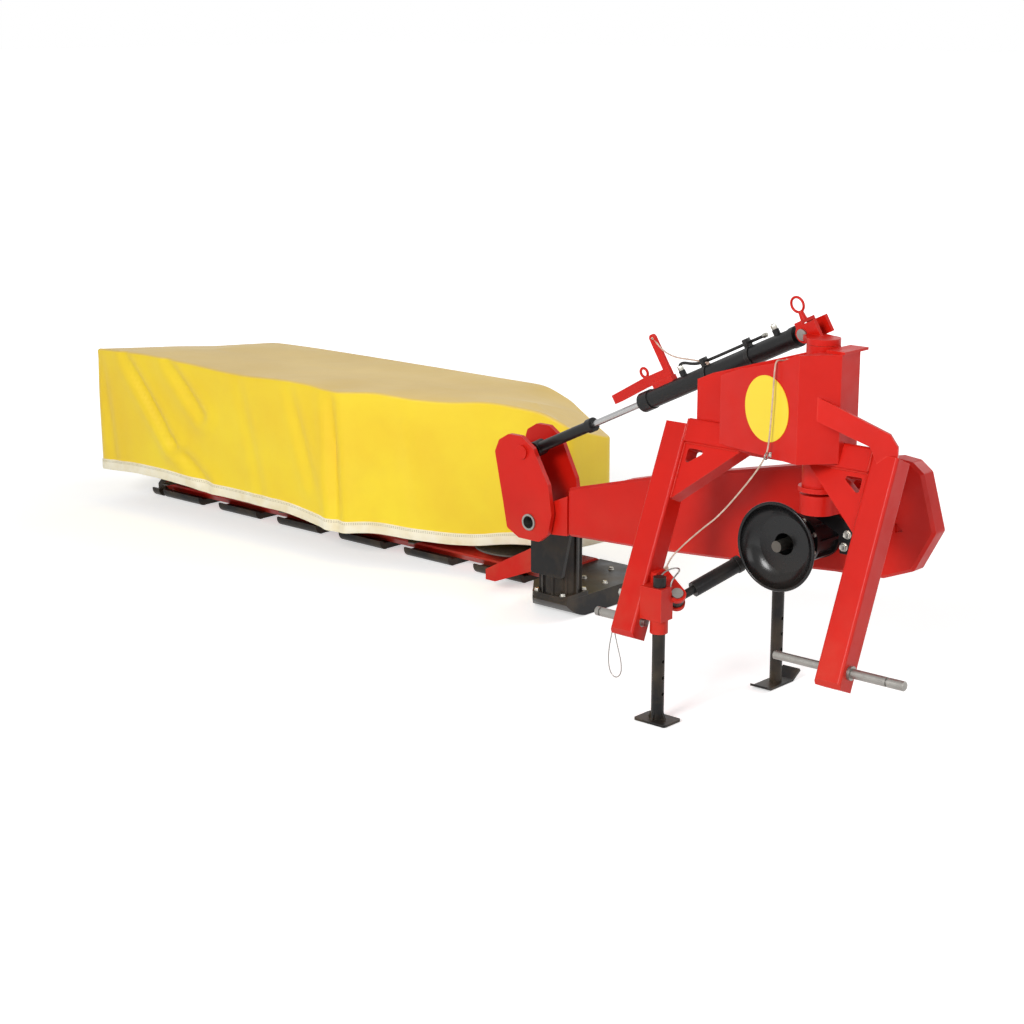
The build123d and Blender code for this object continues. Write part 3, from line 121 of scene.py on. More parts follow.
# How wide a crease is, and which stretch of half a wave its depth follows from top to foot
CREASE_WIDE = 0.024
CREASE_START, CREASE_SPAN = 0.15, 0.7
# The bulge beside a crease: how far away, how wide, its height against the crease's depth, and
# how much of that shows at the top and is gained down to the foot
BULGE_AT, BULGE_WIDE = 0.050, 0.030
BULGE_SHARE, BULGE_TOP, BULGE_GAIN = 0.5, 0.3, 0.7
# Every wall point nearer than this along Y is on the front wall
FRONT_LIMIT = 0.9
# Rounds of smoothing for the outline and then for the heights alone, and how near two points
# have to be to become one
OUTLINE_ROUNDS, HEIGHT_ROUNDS = 3, 5
MERGE_WITHIN = 0.0004
# The roof's ridge: its ends along X, its place along Y and its height
RIDGE_LEFT, RIDGE_RIGHT = -3.480, -1.620
RIDGE_Y, RIDGE_Z = 1.000, 0.369
# Rows of points up a wall, round the fold and over the roof, and where the roof's colour starts
WALL_ROWS, FOLD_ROWS, ROOF_ROWS = 26, 6, 16
ROOF_COLOUR_ROW, COLOUR_FADE_ROWS = WALL_ROWS + 4, 3
# Loose folds: how far under the roof they are free, and how many to the metre in plan and in Z
FREE_BELOW = 0.45
WIDE_FOLDS, FINE_FOLDS = (4.0, 1.1), (11.0, 3.0)
FINE_FOLD_SHARE, TIGHT_SHARE = 0.3, 0.25
WALL_SET_IN = 0.004
# The roof's waves, its rise in the middle and its ripples near the fold
ROOF_WAVE, ROOF_RISE, ROOF_RIPPLE = 0.008, 0.001, 0.0015
ROOF_WAVES, ROOF_RIPPLES = 3.0, 14.0
# The hem's section from its outer top edge down and round to the inner one: how far out, the
# share of the hem's height, and what is added to it
HEM_SECTION = (
    (0.0015, 1.0, 0.0), (0.0040, 1.0, -0.003), (0.0042, 0.5, 0.0), (0.0046, 0.0, 0.002),
    (0.0030, 0.0, -0.004), (-0.0035, 0.0, -0.004), (-0.0060, 0.0, 0.002),
    (-0.0055, 1.0, -0.003), (-0.0045, 1.0, 0.0),
)
HEM_PUFF, HEM_PUFFS = 0.35, 16
# Stitches: how far under the hem's top edge each row runs, the thread's reach and the pitch
STITCH_ROWS = (0.006, 0.011)
STITCH_CORE, STITCH_EDGE = 0.0008, 0.0016
STITCH_PITCH = 0.009

# The lift cylinder's pin and the directions along, above and beside its barrel
LIFT_PIN = Vector((0.035, 0.310, 0.895))
LIFT_ALONG = Vector((-0.899202, 0.153149, -0.409855))
LIFT_SIDE = Vector((0.0793, 0.9783, 0.1915))
LIFT_UP = LIFT_SIDE.cross(LIFT_ALONG)

# Ropes: the body each rides on, its thickness, its length, how it lies and its points
ROPES = {
    "lock_rope": (
        "lift_barrel", 0.005, 0.23, "hanging", (
            (-0.596, 0.380, 0.799), (-0.572, 0.373, 0.781), (-0.535, 0.367, 0.760),
            (-0.490, 0.364, 0.750), (-0.440, 0.367, 0.750), (-0.402, 0.371, 0.748),
            (-0.380, 0.3745, 0.7445))),
    "strut_rope": (
        "headstock", 0.005, 0.865, "hanging", (
            (0.056, 0.170, 0.8290), (0.056, 0.140, 0.8320), (0.056, 0.112, 0.8370),
            (0.055, 0.106, 0.812), (0.054, 0.105, 0.770), (0.051, 0.104, 0.690),
            (0.045, 0.104, 0.600), (0.038, 0.102, 0.553), (-0.002, 0.090, 0.485),
            (-0.106, 0.082, 0.357), (-0.178, 0.080, 0.298), (-0.251, 0.080, 0.230),
            (-0.290, 0.081, 0.188), (-0.303, 0.082, 0.1575))),
}
# Wire forms: the body, the wire's thickness, whether it closes, and its points
WIRES = {
    "toe_loop": ("headstock", 0.0035, True, (
        (-0.424, -0.021, -0.030), (-0.429, -0.022, -0.052), (-0.438, -0.022, -0.095),
        (-0.443, -0.021, -0.140), (-0.436, -0.020, -0.180), (-0.414, -0.019, -0.196),
        (-0.393, -0.018, -0.178), (-0.392, -0.019, -0.140), (-0.406, -0.020, -0.095),
        (-0.418, -0.020, -0.052))),
    "stand_bail": ("headstock", 0.005, False, (
        (-0.251, 0.036, 0.112), (-0.250, 0.037, 0.130), (-0.247, 0.052, 0.148),
        (-0.250, 0.080, 0.158), (-0.264, 0.097, 0.161), (-0.282, 0.090, 0.160),
        (-0.294, 0.062, 0.152), (-0.298, 0.038, 0.134), (-0.298, 0.036, 0.112))),
    "rope_eye": ("headstock", 0.004, True, (
        (0.038, 0.113, 0.556), (0.040, 0.108, 0.563), (0.040, 0.099, 0.565),
        (0.039, 0.092, 0.558), (0.038, 0.092, 0.549), (0.038, 0.100, 0.543),
        (0.037, 0.109, 0.546))),
}
# Bolts: the body, the direction each head points, its radius and the places
BOLTS = {
    "leg_bolt": ("headstock", (-1, 0, 0), 0.013, ((-0.4125, 0.014, 0.074),)),
    "toe_bolt": ("headstock", (-1, 0, 0), 0.007, ((-0.4125, -0.0205, -0.036),)),
    "eye_nut": ("headstock", (0, -1, 0), 0.006, ((0.038, 0.1242, 0.5545),)),
    "bracket_bolt": ("swing_frame", (0, -1, 0), 0.011, (
        (0.084, 0.330, 0.354), (0.170, 0.330, 0.258), (0.181, 0.330, 0.298))),
    "drum_bolt": ("swing_frame", (0, -1, 0), 0.006, tuple(
        (0.0705 * math.cos(math.radians(a)), 0.330, 0.250 + 0.0705 * math.sin(math.radians(a)))
        for a in (22.5, 67.5, 112.5, 157.5, 202.5, 247.5, 292.5, 337.5))),
    "gear_bolt": ("cutterbar", (0, 0, 1), 0.009, (
        (-1.290, 0.622, 0.030), (-1.170, 0.622, 0.030), (-1.290, 0.740, 0.030),
        (-1.170, 0.740, 0.030), (-1.290, 0.622, -0.219), (-1.170, 0.622, -0.219),
        (-1.290, 0.740, -0.219), (-1.170, 0.740, -0.219))),
    "mount_bolt": ("cutterbar", (0, 1, 0), 0.010, (
        (-1.284, 0.618, 0.095), (-1.284, 0.618, 0.055), (-1.135, 0.618, 0.060))),
    "shoe_bolt": ("cutterbar", (0, 0, 1), 0.009, (
        (-1.300, 0.900, -0.235), (-1.200, 0.900, -0.235), (-1.300, 1.060, -0.235),
        (-1.200, 1.060, -0.235))),
}

# The knots' rise against their turns, and their strands against the rope
KNOT_RISE, KNOT_STRAND = 1.2, 0.9
# How nearly upright a face's normal is, for all that point up and for the flat top alone
UPWARDS, STRAIGHT_UP = 0.9, 0.99
# Bolt heads, as shares of the head's radius
WASHER_THICK, WASHER_BEVEL = 0.22, 0.06
HEAD_BEVEL, HEAD_RIM, HEAD_DISH = 0.10, 0.16, 0.05
# Pipe nuts, as shares of the nut's radius
NUT_TALL, NUT_BEVEL, NUT_RIM, NUT_STUB = 1.6, 0.12, 0.25, 0.35
# The oil pipe's points along the lift barrel from its pin, above it and beside it
PIPE_SPOTS = (
    (0.560, 0.044, 0.0), (0.560, 0.060, 0.0), (0.556, 0.066, 0.001), (0.540, 0.066, 0.003),
    (0.510, 0.050, 0.008), (0.480, 0.043, 0.012), (0.420, 0.0415, 0.013),
    (0.340, 0.0415, 0.013), (0.260, 0.0415, 0.013), (0.200, 0.0415, 0.013),
    (0.176, 0.0415, 0.013),
)
# Pipe nuts: place by the barrel, direction and radius
PIPE_NUTS = {
    "port_nut_rod": ((0.560, 0.046, 0.0), LIFT_UP, 0.0095),
    "port_nut_pivot": ((0.122, 0.046, 0.0), LIFT_UP, 0.0095),
    "pipe_end_nut": ((0.188, 0.0415, 0.013), -LIFT_ALONG, 0.0085),
}
# Pipe clamps: places along the barrel, the band round it and the block that holds the pipe
CLAMPS_ALONG = (0.250, 0.452)
CLAMP_WIDE = 0.016
BAND_R, BAND_THICK = 0.0315, 0.002
BLOCK_SIDE, BLOCK_UP, BLOCK_BEVEL = 0.026, 0.0435, 0.0025
# The grease cover on top of the fold hinge: its axis, radius, ends along Y and half angle in
# degrees, then the steps round it, its thickness and the bevel of its edges
GREASE_COVER = ((-1.166, 0.090), 0.0485, (0.474, 0.566), 38.0)
GREASE_STEPS = 12
GREASE_THICK, GREASE_BEVEL = 0.003, 0.001
# How far the hitch legs lean back
LEG_LEAN = math.radians(23.2)
# Weld beads on the headstock: the bead's radius and its points in the plane of the legs
LEG_WELDS = {
    "left_beam_weld": (0.004, ((-0.3265, -0.0375, 0.569), (-0.3265, -0.0375, 0.636))),
    "right_beam_weld": (0.004, ((0.3265, -0.0375, 0.569), (0.3265, -0.0375, 0.636))),
    "left_corner_weld": (0.0035, ((-0.3255, -0.027, 0.388), (-0.3255, -0.027, 0.562))),
    "right_corner_weld": (0.0035, ((0.3255, -0.027, 0.388), (0.3255, -0.027, 0.562))),
    "left_brace_weld": (0.0035, ((-0.3230, -0.027, 0.5640), (-0.124, -0.027, 0.5640))),
    "right_brace_weld": (0.0035, ((0.3230, -0.027, 0.5640), (0.200, -0.027, 0.5640))),
}
# How far apart a bead's points are, and how many of its ripples fit in a metre
WELD_STEP = 0.004
WELD_RIPPLES = 260.0


def linear(red, green, blue):
    """A screen colour of 0 to 255 as the shader's linear colour."""
    parts = []
    for value in (red, green, blue):
        share = value / 255
        parts.append(share / 12.92 if share <= 0.04045 else ((share + 0.055) / 1.055) ** 2.4)
    return tuple(parts)


def colour_setting(name, description, red, green, blue):
    """A colour that a user can change, with a screen colour as its default."""
    return FloatVectorProperty(name=name, description=description, subtype="COLOR",
                               default=linear(red, green, blue))


def opaque(colour, shade=1.0):
    """A colour for a shader's input, darkened by a share."""
    return tuple(part * shade for part in colour) + (1.0,)


def add_node(tree, kind, inputs=None, **settings):
    """Adds one shader node, with its settings and its inputs set or linked."""
    made = tree.nodes.new(kind)
    for key, value in settings.items():
        setattr(made, key, value)
    for key, value in (inputs or {}).items():
        if isinstance(value, bpy.types.NodeSocket):
            tree.links.new(value, made.inputs[key])
        else:
            made.inputs[key].default_value = value
    return made


def new_material(name):
    """A material with only its output node."""
    material = bpy.data.materials.new(name)
    material.use_nodes = True
    tree = material.node_tree
    tree.nodes.clear()
    return material, tree, tree.nodes.new("ShaderNodeOutputMaterial")


def object_noise(tree, scale, detail=3.0, roughness=0.55):
    """Noise on the object's own coordinates, as a value socket."""
    place = add_node(tree, "ShaderNodeTexCoord").outputs["Object"]
    clouds = add_node(tree, "ShaderNodeTexNoise",
                      {"Vector": place, "Scale": scale, "Detail": detail,
                       "Roughness": roughness})
    return clouds.outputs["Fac"]


def remap(tree, value, low, high, to_low=0.0, to_high=1.0):
    """Maps a value from one range to another, clamped."""
    made = add_node(tree, "ShaderNodeMapRange",
                    {"Value": value, "From Min": low, "From Max": high,
                     "To Min": to_low, "To Max": to_high})
    return made.outputs["Result"]


def mix_colours(tree, share, first, second):
    """Mixes two colours, each a colour or a socket."""
    made = add_node(tree, "ShaderNodeMix", data_type="RGBA")
    for index, value in ((0, share), (6, first), (7, second)):
        if isinstance(value, bpy.types.NodeSocket):
            tree.links.new(value, made.inputs[index])
        else:
            made.inputs[index].default_value = value
    return made.outputs[2]


def times(tree, first, second):
    """The product of two values, each a number or a socket."""
    return add_node(tree, "ShaderNodeMath", {0: first, 1: second},
                    operation="MULTIPLY").outputs[0]


def bumped(tree, height, strength, distance=0.001, below=None):
    """The normal of a bump, laid over another normal where one is given."""
    inputs = {"Strength": strength, "Distance": distance, "Height": height}
    if below is not None:
        inputs["Normal"] = below
    return add_node(tree, "ShaderNodeBump", inputs).outputs["Normal"]


def surfaced(tree, output, inputs):
    """Gives a material its one shader."""
    shader = add_node(tree, "ShaderNodeBsdfPrincipled", inputs)
    tree.links.new(shader.outputs[0], output.inputs["Surface"])


def varied(tree, scale, detail, roughness, less, more):
    """A roughness that noise varies between two limits."""
    return remap(tree, object_noise(tree, scale, detail), 0.3, 0.7, roughness - less,
                 roughness + more)


def edge_highlight_mask(tree, radius):
    """Painted highlight: white along sharp edges, broken up by noise."""
    soft = add_node(tree, "ShaderNodeBevel", {"Radius": radius}, samples=4).outputs["Normal"]
    flat = add_node(tree, "ShaderNodeNewGeometry").outputs["True Normal"]
    dot = add_node(tree, "ShaderNodeVectorMath", {0: soft, 1: flat}, operation="DOT_PRODUCT")
    lit_edge = remap(tree, dot.outputs["Value"], 0.99, 0.80)
    broken = remap(tree, object_noise(tree, 30.0, 4.0), 0.35, 0.62, 0.25, 1.0)
    return times(tree, lit_edge, broken)


def dust_mask(tree, low, high):
    """White near the ground, fading upwards and broken up by noise."""
    place = add_node(tree, "ShaderNodeTexCoord").outputs["Object"]
    height = add_node(tree, "ShaderNodeSeparateXYZ", {"Vector": place}).outputs["Z"]
    fade = remap(tree, height, high, low)
    return times(tree, fade, remap(tree, object_noise(tree, 9.0, 5.0), 0.38, 0.7))


def painted_steel(name, colour, edge, roughness, coat=0.06):
    """Sprayed paint on steel: slight mottling, orange peel, a painted highlight along the edges
    and dust low down.
    """
    finish = bpy.context.scene.mower_finish
    material, tree, output = new_material(name)
    cloud = remap(tree, object_noise(tree, 4.0, 5.0), 0.3, 0.7)
    base = mix_colours(tree, cloud, opaque(colour, 0.86), opaque(colour))
    # The edge colour is a painted highlight, mixed in along sharp edges
    tint = times(tree, edge_highlight_mask(tree, finish.edge_width), finish.edge_highlight)
    base = mix_colours(tree, tint, base, opaque(edge))
    dust = times(tree, dust_mask(tree, finish.dust_low, finish.dust_top), finish.dust)
    base = mix_colours(tree, dust, base, opaque(finish.dust_colour))
    surfaced(tree, output, {
        "Base Color": base, "Roughness": varied(tree, 18.0, 4.0, roughness, 0.07, 0.1),
        "Specular IOR Level": 0.2, "Coat Weight": coat, "Coat Roughness": 0.18,
        "Normal": bumped(tree, object_noise(tree, 420.0), 0.06)})
    return material


def bare_metal(name, colour, roughness, tint=0.25):
    """Bare or plated steel: metallic, with fine scratches and small stains."""
    material, tree, output = new_material(name)
    stain = remap(tree, object_noise(tree, 35.0, 6.0), 0.42, 0.72)
    base = mix_colours(tree, times(tree, stain, tint), opaque(colour), opaque(colour, 0.55))
    surfaced(tree, output, {
        "Base Color": base, "Roughness": varied(tree, 90.0, 5.0, roughness, 0.06, 0.12),
        "Metallic": 0.92, "Normal": bumped(tree, object_noise(tree, 600.0), 0.08)})
    return material


def plain_cloth(name, colour, dark, roughness=0.5):
    """Coated cloth: a fine weave in the bump, soft colour clouds and a slight sheen."""
    material, tree, output = new_material(name)
    cloud = remap(tree, object_noise(tree, 2.2, 5.0), 0.3, 0.72)
    surfaced(tree, output, {
        "Base Color": mix_colours(tree, cloud, opaque(dark), opaque(colour)),
        "Roughness": roughness, "Sheen Weight": 0.15,
        "Normal": bumped(tree, object_noise(tree, 900.0, 1.0), 0.12)})
    return material


def rope_fibre(settings):
    """Pale twisted rope, a little soiled, with its lay in the bump."""
    material, tree, output = new_material("rope_fibre")
    soil = remap(tree, object_noise(tree, 60.0, 5.0), 0.35, 0.7)
    base = mix_colours(tree, soil, opaque(settings.colour), opaque(settings.soil))
    place = add_node(tree, "ShaderNodeTexCoord").outputs["Object"]
    twist = add_node(tree, "ShaderNodeTexWave",
                     {"Vector": place, "Scale": 110.0, "Distortion": 1.5},
                     bands_direction="DIAGONAL").outputs["Fac"]
    surfaced(tree, output, {"Base Color": base, "Roughness": 0.85,
                            "Normal": bumped(tree, twist, 0.4)})
    return material


def canopy_cloth(settings):
    """Coated cloth: yellow walls, a tan roof less vivid than the walls, stains, a weave and
    crumples.
    """
    material, tree, output = new_material("canopy_cloth_finish")
    share = add_node(tree, "ShaderNodeAttribute", attribute_name="wall_share").outputs["Fac"]
    cloud = remap(tree, object_noise(tree, 2.4, 5.0), 0.3, 0.72)
    wall = mix_colours(tree, cloud, opaque(settings.wall_shade), opaque(settings.wall_colour))
    roof = mix_colours(tree, cloud, opaque(settings.roof_shade), opaque(settings.roof_colour))
    stain = remap(tree, object_noise(tree, 7.0, 6.0, 0.65), 0.52, 0.78)
    wall = mix_colours(tree, times(tree, stain, 0.10), wall, opaque(settings.stain_colour))
    weave = bumped(tree, object_noise(tree, 700.0, 1.0), 0.10)
    surfaced(tree, output, {
        "Base Color": mix_colours(tree, share, roof, wall), "Roughness": 0.52,
        "Sheen Weight": 0.12,
        "Normal": bumped(tree, object_noise(tree, 26.0, 4.0), 0.16, 0.006, weave)})
    return material


def stitch_mask(tree, line):
    """White on the dashes of a row of stitches at one height of the hem."""
    height = add_node(tree, "ShaderNodeAttribute", attribute_name="hem_height").outputs["Fac"]
    run = add_node(tree, "ShaderNodeAttribute", attribute_name="hem_run").outputs["Fac"]
    away = add_node(tree, "ShaderNodeMath", {0: height, 1: line}, operation="SUBTRACT").outputs[0]
    away = add_node(tree, "ShaderNodeMath", {0: away}, operation="ABSOLUTE").outputs[0]
    row = remap(tree, away, STITCH_EDGE, STITCH_CORE)
    dash = add_node(tree, "ShaderNodeMath", {0: times(tree, run, 2 * math.pi / STITCH_PITCH)},
                    operation="SINE").outputs[0]
    return times(tree, row, remap(tree, dash, -0.5, -0.2))


def hem_cloth(settings):
    """The pale sewn hem, slightly soiled, with two rows of stitches."""
    material, tree, output = new_material("hem_cloth_finish")
    soil = remap(tree, object_noise(tree, 12.0, 6.0), 0.4, 0.75)
    base = mix_colours(tree, soil, opaque(settings.hem_colour), opaque(settings.hem_soil))
    upper, lower = (stitch_mask(tree, settings.hem_height - down) for down in STITCH_ROWS)
    rows = add_node(tree, "ShaderNodeMath", {0: upper, 1: lower},
                    operation="MAXIMUM").outputs[0]
    base = mix_colours(tree, times(tree, rows, 0.7), base, opaque(settings.thread_colour))
    thread = bumped(tree, rows, 0.5)
    surfaced(tree, output, {
        "Base Color": base, "Roughness": 0.7,
        "Normal": bumped(tree, object_noise(tree, 500.0), 0.15, below=thread)})
    return material


def linked(name, data):
    """A new object in the scene round a mesh or a curve."""
    made = bpy.data.objects.new(name, data)
    bpy.context.collection.objects.link(made)
    return made


def new_piece(name, fill):
    """A new object whose mesh a function fills."""
    mesh = bpy.data.meshes.new(name)
    made = bmesh.new()
    fill(made)
    bmesh.ops.recalc_face_normals(made, faces=made.faces)
    made.to_mesh(mesh)
    made.free()
    return linked(name, mesh)


def only(piece):
    """Selects one object and nothing else."""
    bpy.ops.object.select_all(action="DESELECT")
    piece.select_set(True)
    bpy.context.view_layer.objects.active = piece


def applied(piece, kind, **settings):
    """Adds one modifier with its settings and applies it."""
    only(piece)
    made = piece.modifiers.new(kind.lower(), kind)
    for key, value in settings.items():
        setattr(made, key, value)
    bpy.ops.object.modifier_apply(modifier=made.name)


def smoothed(piece, angle):
    """Shades a piece smooth, apart from edges sharper than an angle in degrees."""
    only(piece)
    bpy.ops.object.shade_smooth_by_angle(angle=math.radians(angle))


def joined(piece, other):
    """Joins another piece into the first one, with its place in its mesh."""
    only(piece)
    other.select_set(True)
    bpy.ops.object.join()
    bpy.ops.object.transform_apply(location=True, rotation=True, scale=True)
    return piece


def lift_place(along, up=0.0, side=0.0):
    """A place by the lift cylinder: along its barrel, above it and beside it."""
    return LIFT_PIN + LIFT_ALONG * along + LIFT_UP * up + LIFT_SIDE * side


def smooth_line(name, points, thick, closed=False):
    """A round line along one smooth spline through given points."""
    curve = bpy.data.curves.new(name, "CURVE")
    curve.dimensions = "3D"
    curve.bevel_depth = thick / 2
    curve.bevel_resolution = 3
    curve.use_fill_caps = True
    spline = curve.splines.new("NURBS")
    spline.points.add(len(points) - 1)
    for point, place in zip(spline.points, points):
        point.co = (*place, 1.0)
    spline.use_cyclic_u = closed
    spline.order_u = 3
    spline.use_endpoint_u = not closed
    spline.resolution_u = 8
    return linked(name, curve)


def solid_line(name, points, thick, closed=False):
    """The same line as a mesh."""
    line = smooth_line(name + "_line", points, thick, closed)
    mesh = bpy.data.meshes.new_from_object(line)
    bpy.data.objects.remove(line)
    return linked(name, mesh)


def pick_faces(piece, test):
    """In edit mode, selects the faces that pass the test and nothing else."""
    bpy.ops.mesh.select_mode(type="FACE")
    bpy.ops.mesh.select_all(action="DESELECT")
    made = bmesh.from_edit_mesh(piece.data)
    for face in made.faces:
        face.select_set(test(face))
    made.select_flush_mode()
    bmesh.update_edit_mesh(piece.data)


def moved_copy(model, name, matrix):
    """A copy of a model with its own mesh, moved by a matrix."""
    mesh = model.data.copy()
    mesh.transform(matrix)
    return linked(name, mesh)


def turned_to(place, direction, size):
    """The matrix that scales a model, turns it from +Z to a direction and moves it to a place."""
    turn = Vector((0, 0, 1)).rotation_difference(Vector(direction)).to_matrix().to_4x4()
    return Matrix.Translation(Vector(place)) @ turn @ Matrix.Scale(size, 4)


def finished(piece, material, body, angle=35.0):
    """Smooths a piece, gives it its material and says what it rides on."""
    if piece.type == "MESH":
        smoothed(piece, angle)
    piece.data.materials.clear()
    piece.data.materials.append(material)
    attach(piece, body)
    return piece


class StageSettings(bpy.types.PropertyGroup):
    """Camera, world and floor."""

    camera_place: FloatVectorProperty(
        name="Camera", description="Where the camera stands", subtype="TRANSLATION",
        default=(3.3312, -4.7297, 1.8306))
    camera_yaw: FloatProperty(
        name="Yaw", description="Turn of the camera from +Y towards -X", subtype="ANGLE",
        default=math.radians(41.54))
    camera_pitch: FloatProperty(
        name="Pitch", description="How far the camera looks down", subtype="ANGLE",
        default=math.radians(13.98))
    lens: FloatProperty(
        name="Lens", description="Focal length in millimetres", subtype="DISTANCE_CAMERA",
        default=71.81)
    world_strength: FloatProperty(
        name="World", description="Strength of the even light from all round", default=0.42)
    floor_colour: FloatVectorProperty(
        name="Floor", description="Colour of the floor", subtype="COLOR",
        default=(0.86, 0.86, 0.86))
    floor_size: FloatProperty(
        name="Floor size", description="Width of the floor", subtype="DISTANCE", default=160.0)


def seen_directly(tree):
    """White for what the camera or a mirror sees, black for what lights the mower."""
    path = add_node(tree, "ShaderNodeLightPath")
    return add_node(tree, "ShaderNodeMath",
                    {0: path.outputs["Is Camera Ray"], 1: path.outputs["Is Glossy Ray"]},
                    operation="MAXIMUM").outputs[0]


def make_floor(settings):
    """A pale floor that turns white away from the mower."""
    bpy.ops.object.select_all(action="DESELECT")
    bpy.ops.mesh.primitive_plane_add(size=settings.floor_size,
                                     location=(0, 0, cad_low.z - FLOOR_GAP))
    floor = bpy.context.object
    floor.name = "studio_floor"
    material, tree, output = new_material("pale_floor")
    diffuse = add_node(tree, "ShaderNodeBsdfDiffuse", {"Color": opaque(settings.floor_colour)})
    place = add_node(tree, "ShaderNodeTexCoord").outputs["Object"]
    away = add_node(tree, "ShaderNodeVectorMath", {0: place, 1: GLOW_CENTRE},
                    operation="DISTANCE").outputs["Value"]
    glow = add_node(tree, "ShaderNodeEmission",
                    {"Strength": remap(tree, away, GLOW_START, GLOW_FULL, GLOW_LEAST, 1.0)})
    both = add_node(tree, "ShaderNodeAddShader", {0: diffuse.outputs[0], 1: glow.outputs[0]})
    mixed = add_node(tree, "ShaderNodeMixShader",
                     {0: seen_directly(tree), 1: diffuse.outputs[0], 2: both.outputs[0]})
    tree.links.new(mixed.outputs[0], output.inputs["Surface"])
    floor.data.materials.append(material)


def make_world(settings):
    """An even soft light, seen as white."""
    world = bpy.data.worlds.new("studio_world")
    bpy.context.scene.world = world
    world.use_nodes = True
    tree = world.node_tree
    tree.nodes.clear()
    soft = add_node(tree, "ShaderNodeBackground", {"Strength": settings.world_strength})
    white = add_node(tree, "ShaderNodeBackground",
                     {"Color": (1.0, 1.0, 1.0, 1.0), "Strength": 1.0})
    mixed = add_node(tree, "ShaderNodeMixShader",
                     {0: seen_directly(tree), 1: soft.outputs[0], 2: white.outputs[0]})
    output = tree.nodes.new("ShaderNodeOutputWorld")
    tree.links.new(mixed.outputs[0], output.inputs["Surface"])


def add_lamps():
    """Square lamps that face the middle of the mower."""
    centre = (cad_low + cad_high) / 2
    for name, (place, size, power) in LAMPS.items():
        bpy.ops.object.light_add(type="AREA", location=place)
        lamp = bpy.context.object
        lamp.name = name
        lamp.data.size = size
        lamp.data.energy = power
        lamp.rotation_euler = (centre - Vector(place)).to_track_quat("-Z", "Y").to_euler()


def add_camera(settings):
    """The camera, from its place, yaw and pitch."""
    yaw, pitch = settings.camera_yaw, settings.camera_pitch
    looks = Vector((-math.sin(yaw) * math.cos(pitch), math.cos(yaw) * math.cos(pitch),
                    -math.sin(pitch)))
    bpy.ops.object.camera_add(location=settings.camera_place)
    camera = bpy.context.object
    camera.rotation_euler = looks.to_track_quat("-Z", "Y").to_euler()
    camera.data.sensor_width = SENSOR_WIDTH
    camera.data.lens = settings.lens
    camera.data.clip_end = VIEW_END
    bpy.context.scene.camera = camera


class MOWER_OT_stage(bpy.types.Operator):
    """Makes the floor, the lamps, the world and the camera"""

    bl_idname = "mower.stage"
    bl_label = "Stage"

    def execute(self, context):
        settings = context.scene.mower_stage
        make_floor(settings)
        make_world(settings)
        add_lamps()
        add_camera(settings)
        context.scene.view_settings.view_transform = "Standard"
        return {"FINISHED"}


class CanopySettings(bpy.types.PropertyGroup):
    """The cover over the discs."""

    spacing: FloatProperty(
        name="Spacing", description="Distance between the cover's points", subtype="DISTANCE",
        default=0.017)
    cloth: FloatProperty(
        name="Cloth", description="Thickness of the cloth", subtype="DISTANCE", default=0.003)
    fold_radius: FloatProperty(
        name="Fold", description="Radius of the fold round the roof", subtype="DISTANCE",
        default=0.012)
    hem_height: FloatProperty(
        name="Hem", description="Height of the sewn hem", subtype="DISTANCE", default=0.042)
    flutter: FloatProperty(
        name="Flutter", description="Depth of the loose folds", subtype="DISTANCE",
        default=0.005)
    wall_colour: colour_setting("Wall", "Colour of the walls", 248, 220, 38)
    wall_shade: colour_setting("Wall shade", "Darker clouds on the walls", 240, 202, 30)
    # The roof is coloured a tan less vivid than the walls' yellow
    roof_colour: colour_setting("Roof", "Colour of the duller roof", 240, 206, 116)
    roof_shade: colour_setting("Roof shade", "Darker clouds on the roof", 226, 190, 98)
    stain_colour: colour_setting("Stains", "Colour of the walls' stains", 214, 176, 60)
    hem_colour: colour_setting("Hem colour", "Colour of the clean hem", 250, 244, 222)
    hem_soil: colour_setting("Hem soil", "Colour of the soiled hem", 236, 222, 182)
    thread_colour: colour_setting("Thread", "Colour of the stitches", 150, 132, 84)


def spaced(stations, spacing):
    """Points between the stations at an even spacing, as plan place, top and hem height."""
    made = []
    for start, end in zip(stations, stations[1:]):
        a, b = Vector(start[:2]), Vector(end[:2])
        count = max(1, round((b - a).length / spacing))
        for step in range(count):
            share = step / count
            made.append([start[k] + (end[k] - start[k]) * share for k in range(4)])
    return made


def softened(loop, rounds, keep_plan=False):
    """Averages each point of a closed loop with its neighbours."""
    for _ in range(rounds):
        count = len(loop)
        loop = [[(loop[i - 1][k] + 2 * loop[i][k] + loop[(i + 1) % count][k]) / 4
                 if not (keep_plan and k < 2) else loop[i][k] for k in range(4)]
                for i in range(count)]
    return loop


def crease_depth(x, z):
    """How far the front wall is pressed in at one place, with a bulge beside each crease."""
    depth = 0.0
    for x0, z0, x1, z1, deep in CREASES:
        line = Vector((x1 - x0, z1 - z0))
        place = Vector((x - x0, z - z0))
        share = min(1.0, max(0.0, place.dot(line) / line.length_squared))
        away = (place - line * share).length
        swell = math.sin(math.pi * (CREASE_START + CREASE_SPAN * share))
        depth += deep * math.exp(-(away / CREASE_WIDE) ** 2) * swell
        bulge = math.exp(-((away - BULGE_AT) / BULGE_WIDE) ** 2)
        depth -= BULGE_SHARE * deep * bulge * (BULGE_TOP + BULGE_GAIN * share)
    return depth


def fold_noise(x, y, z, folds):
    """Smooth noise with so many folds to the metre in plan and in height."""
    in_plan, in_height = folds
    return noise.noise(Vector((x * in_plan, y * in_plan, z * in_height)))


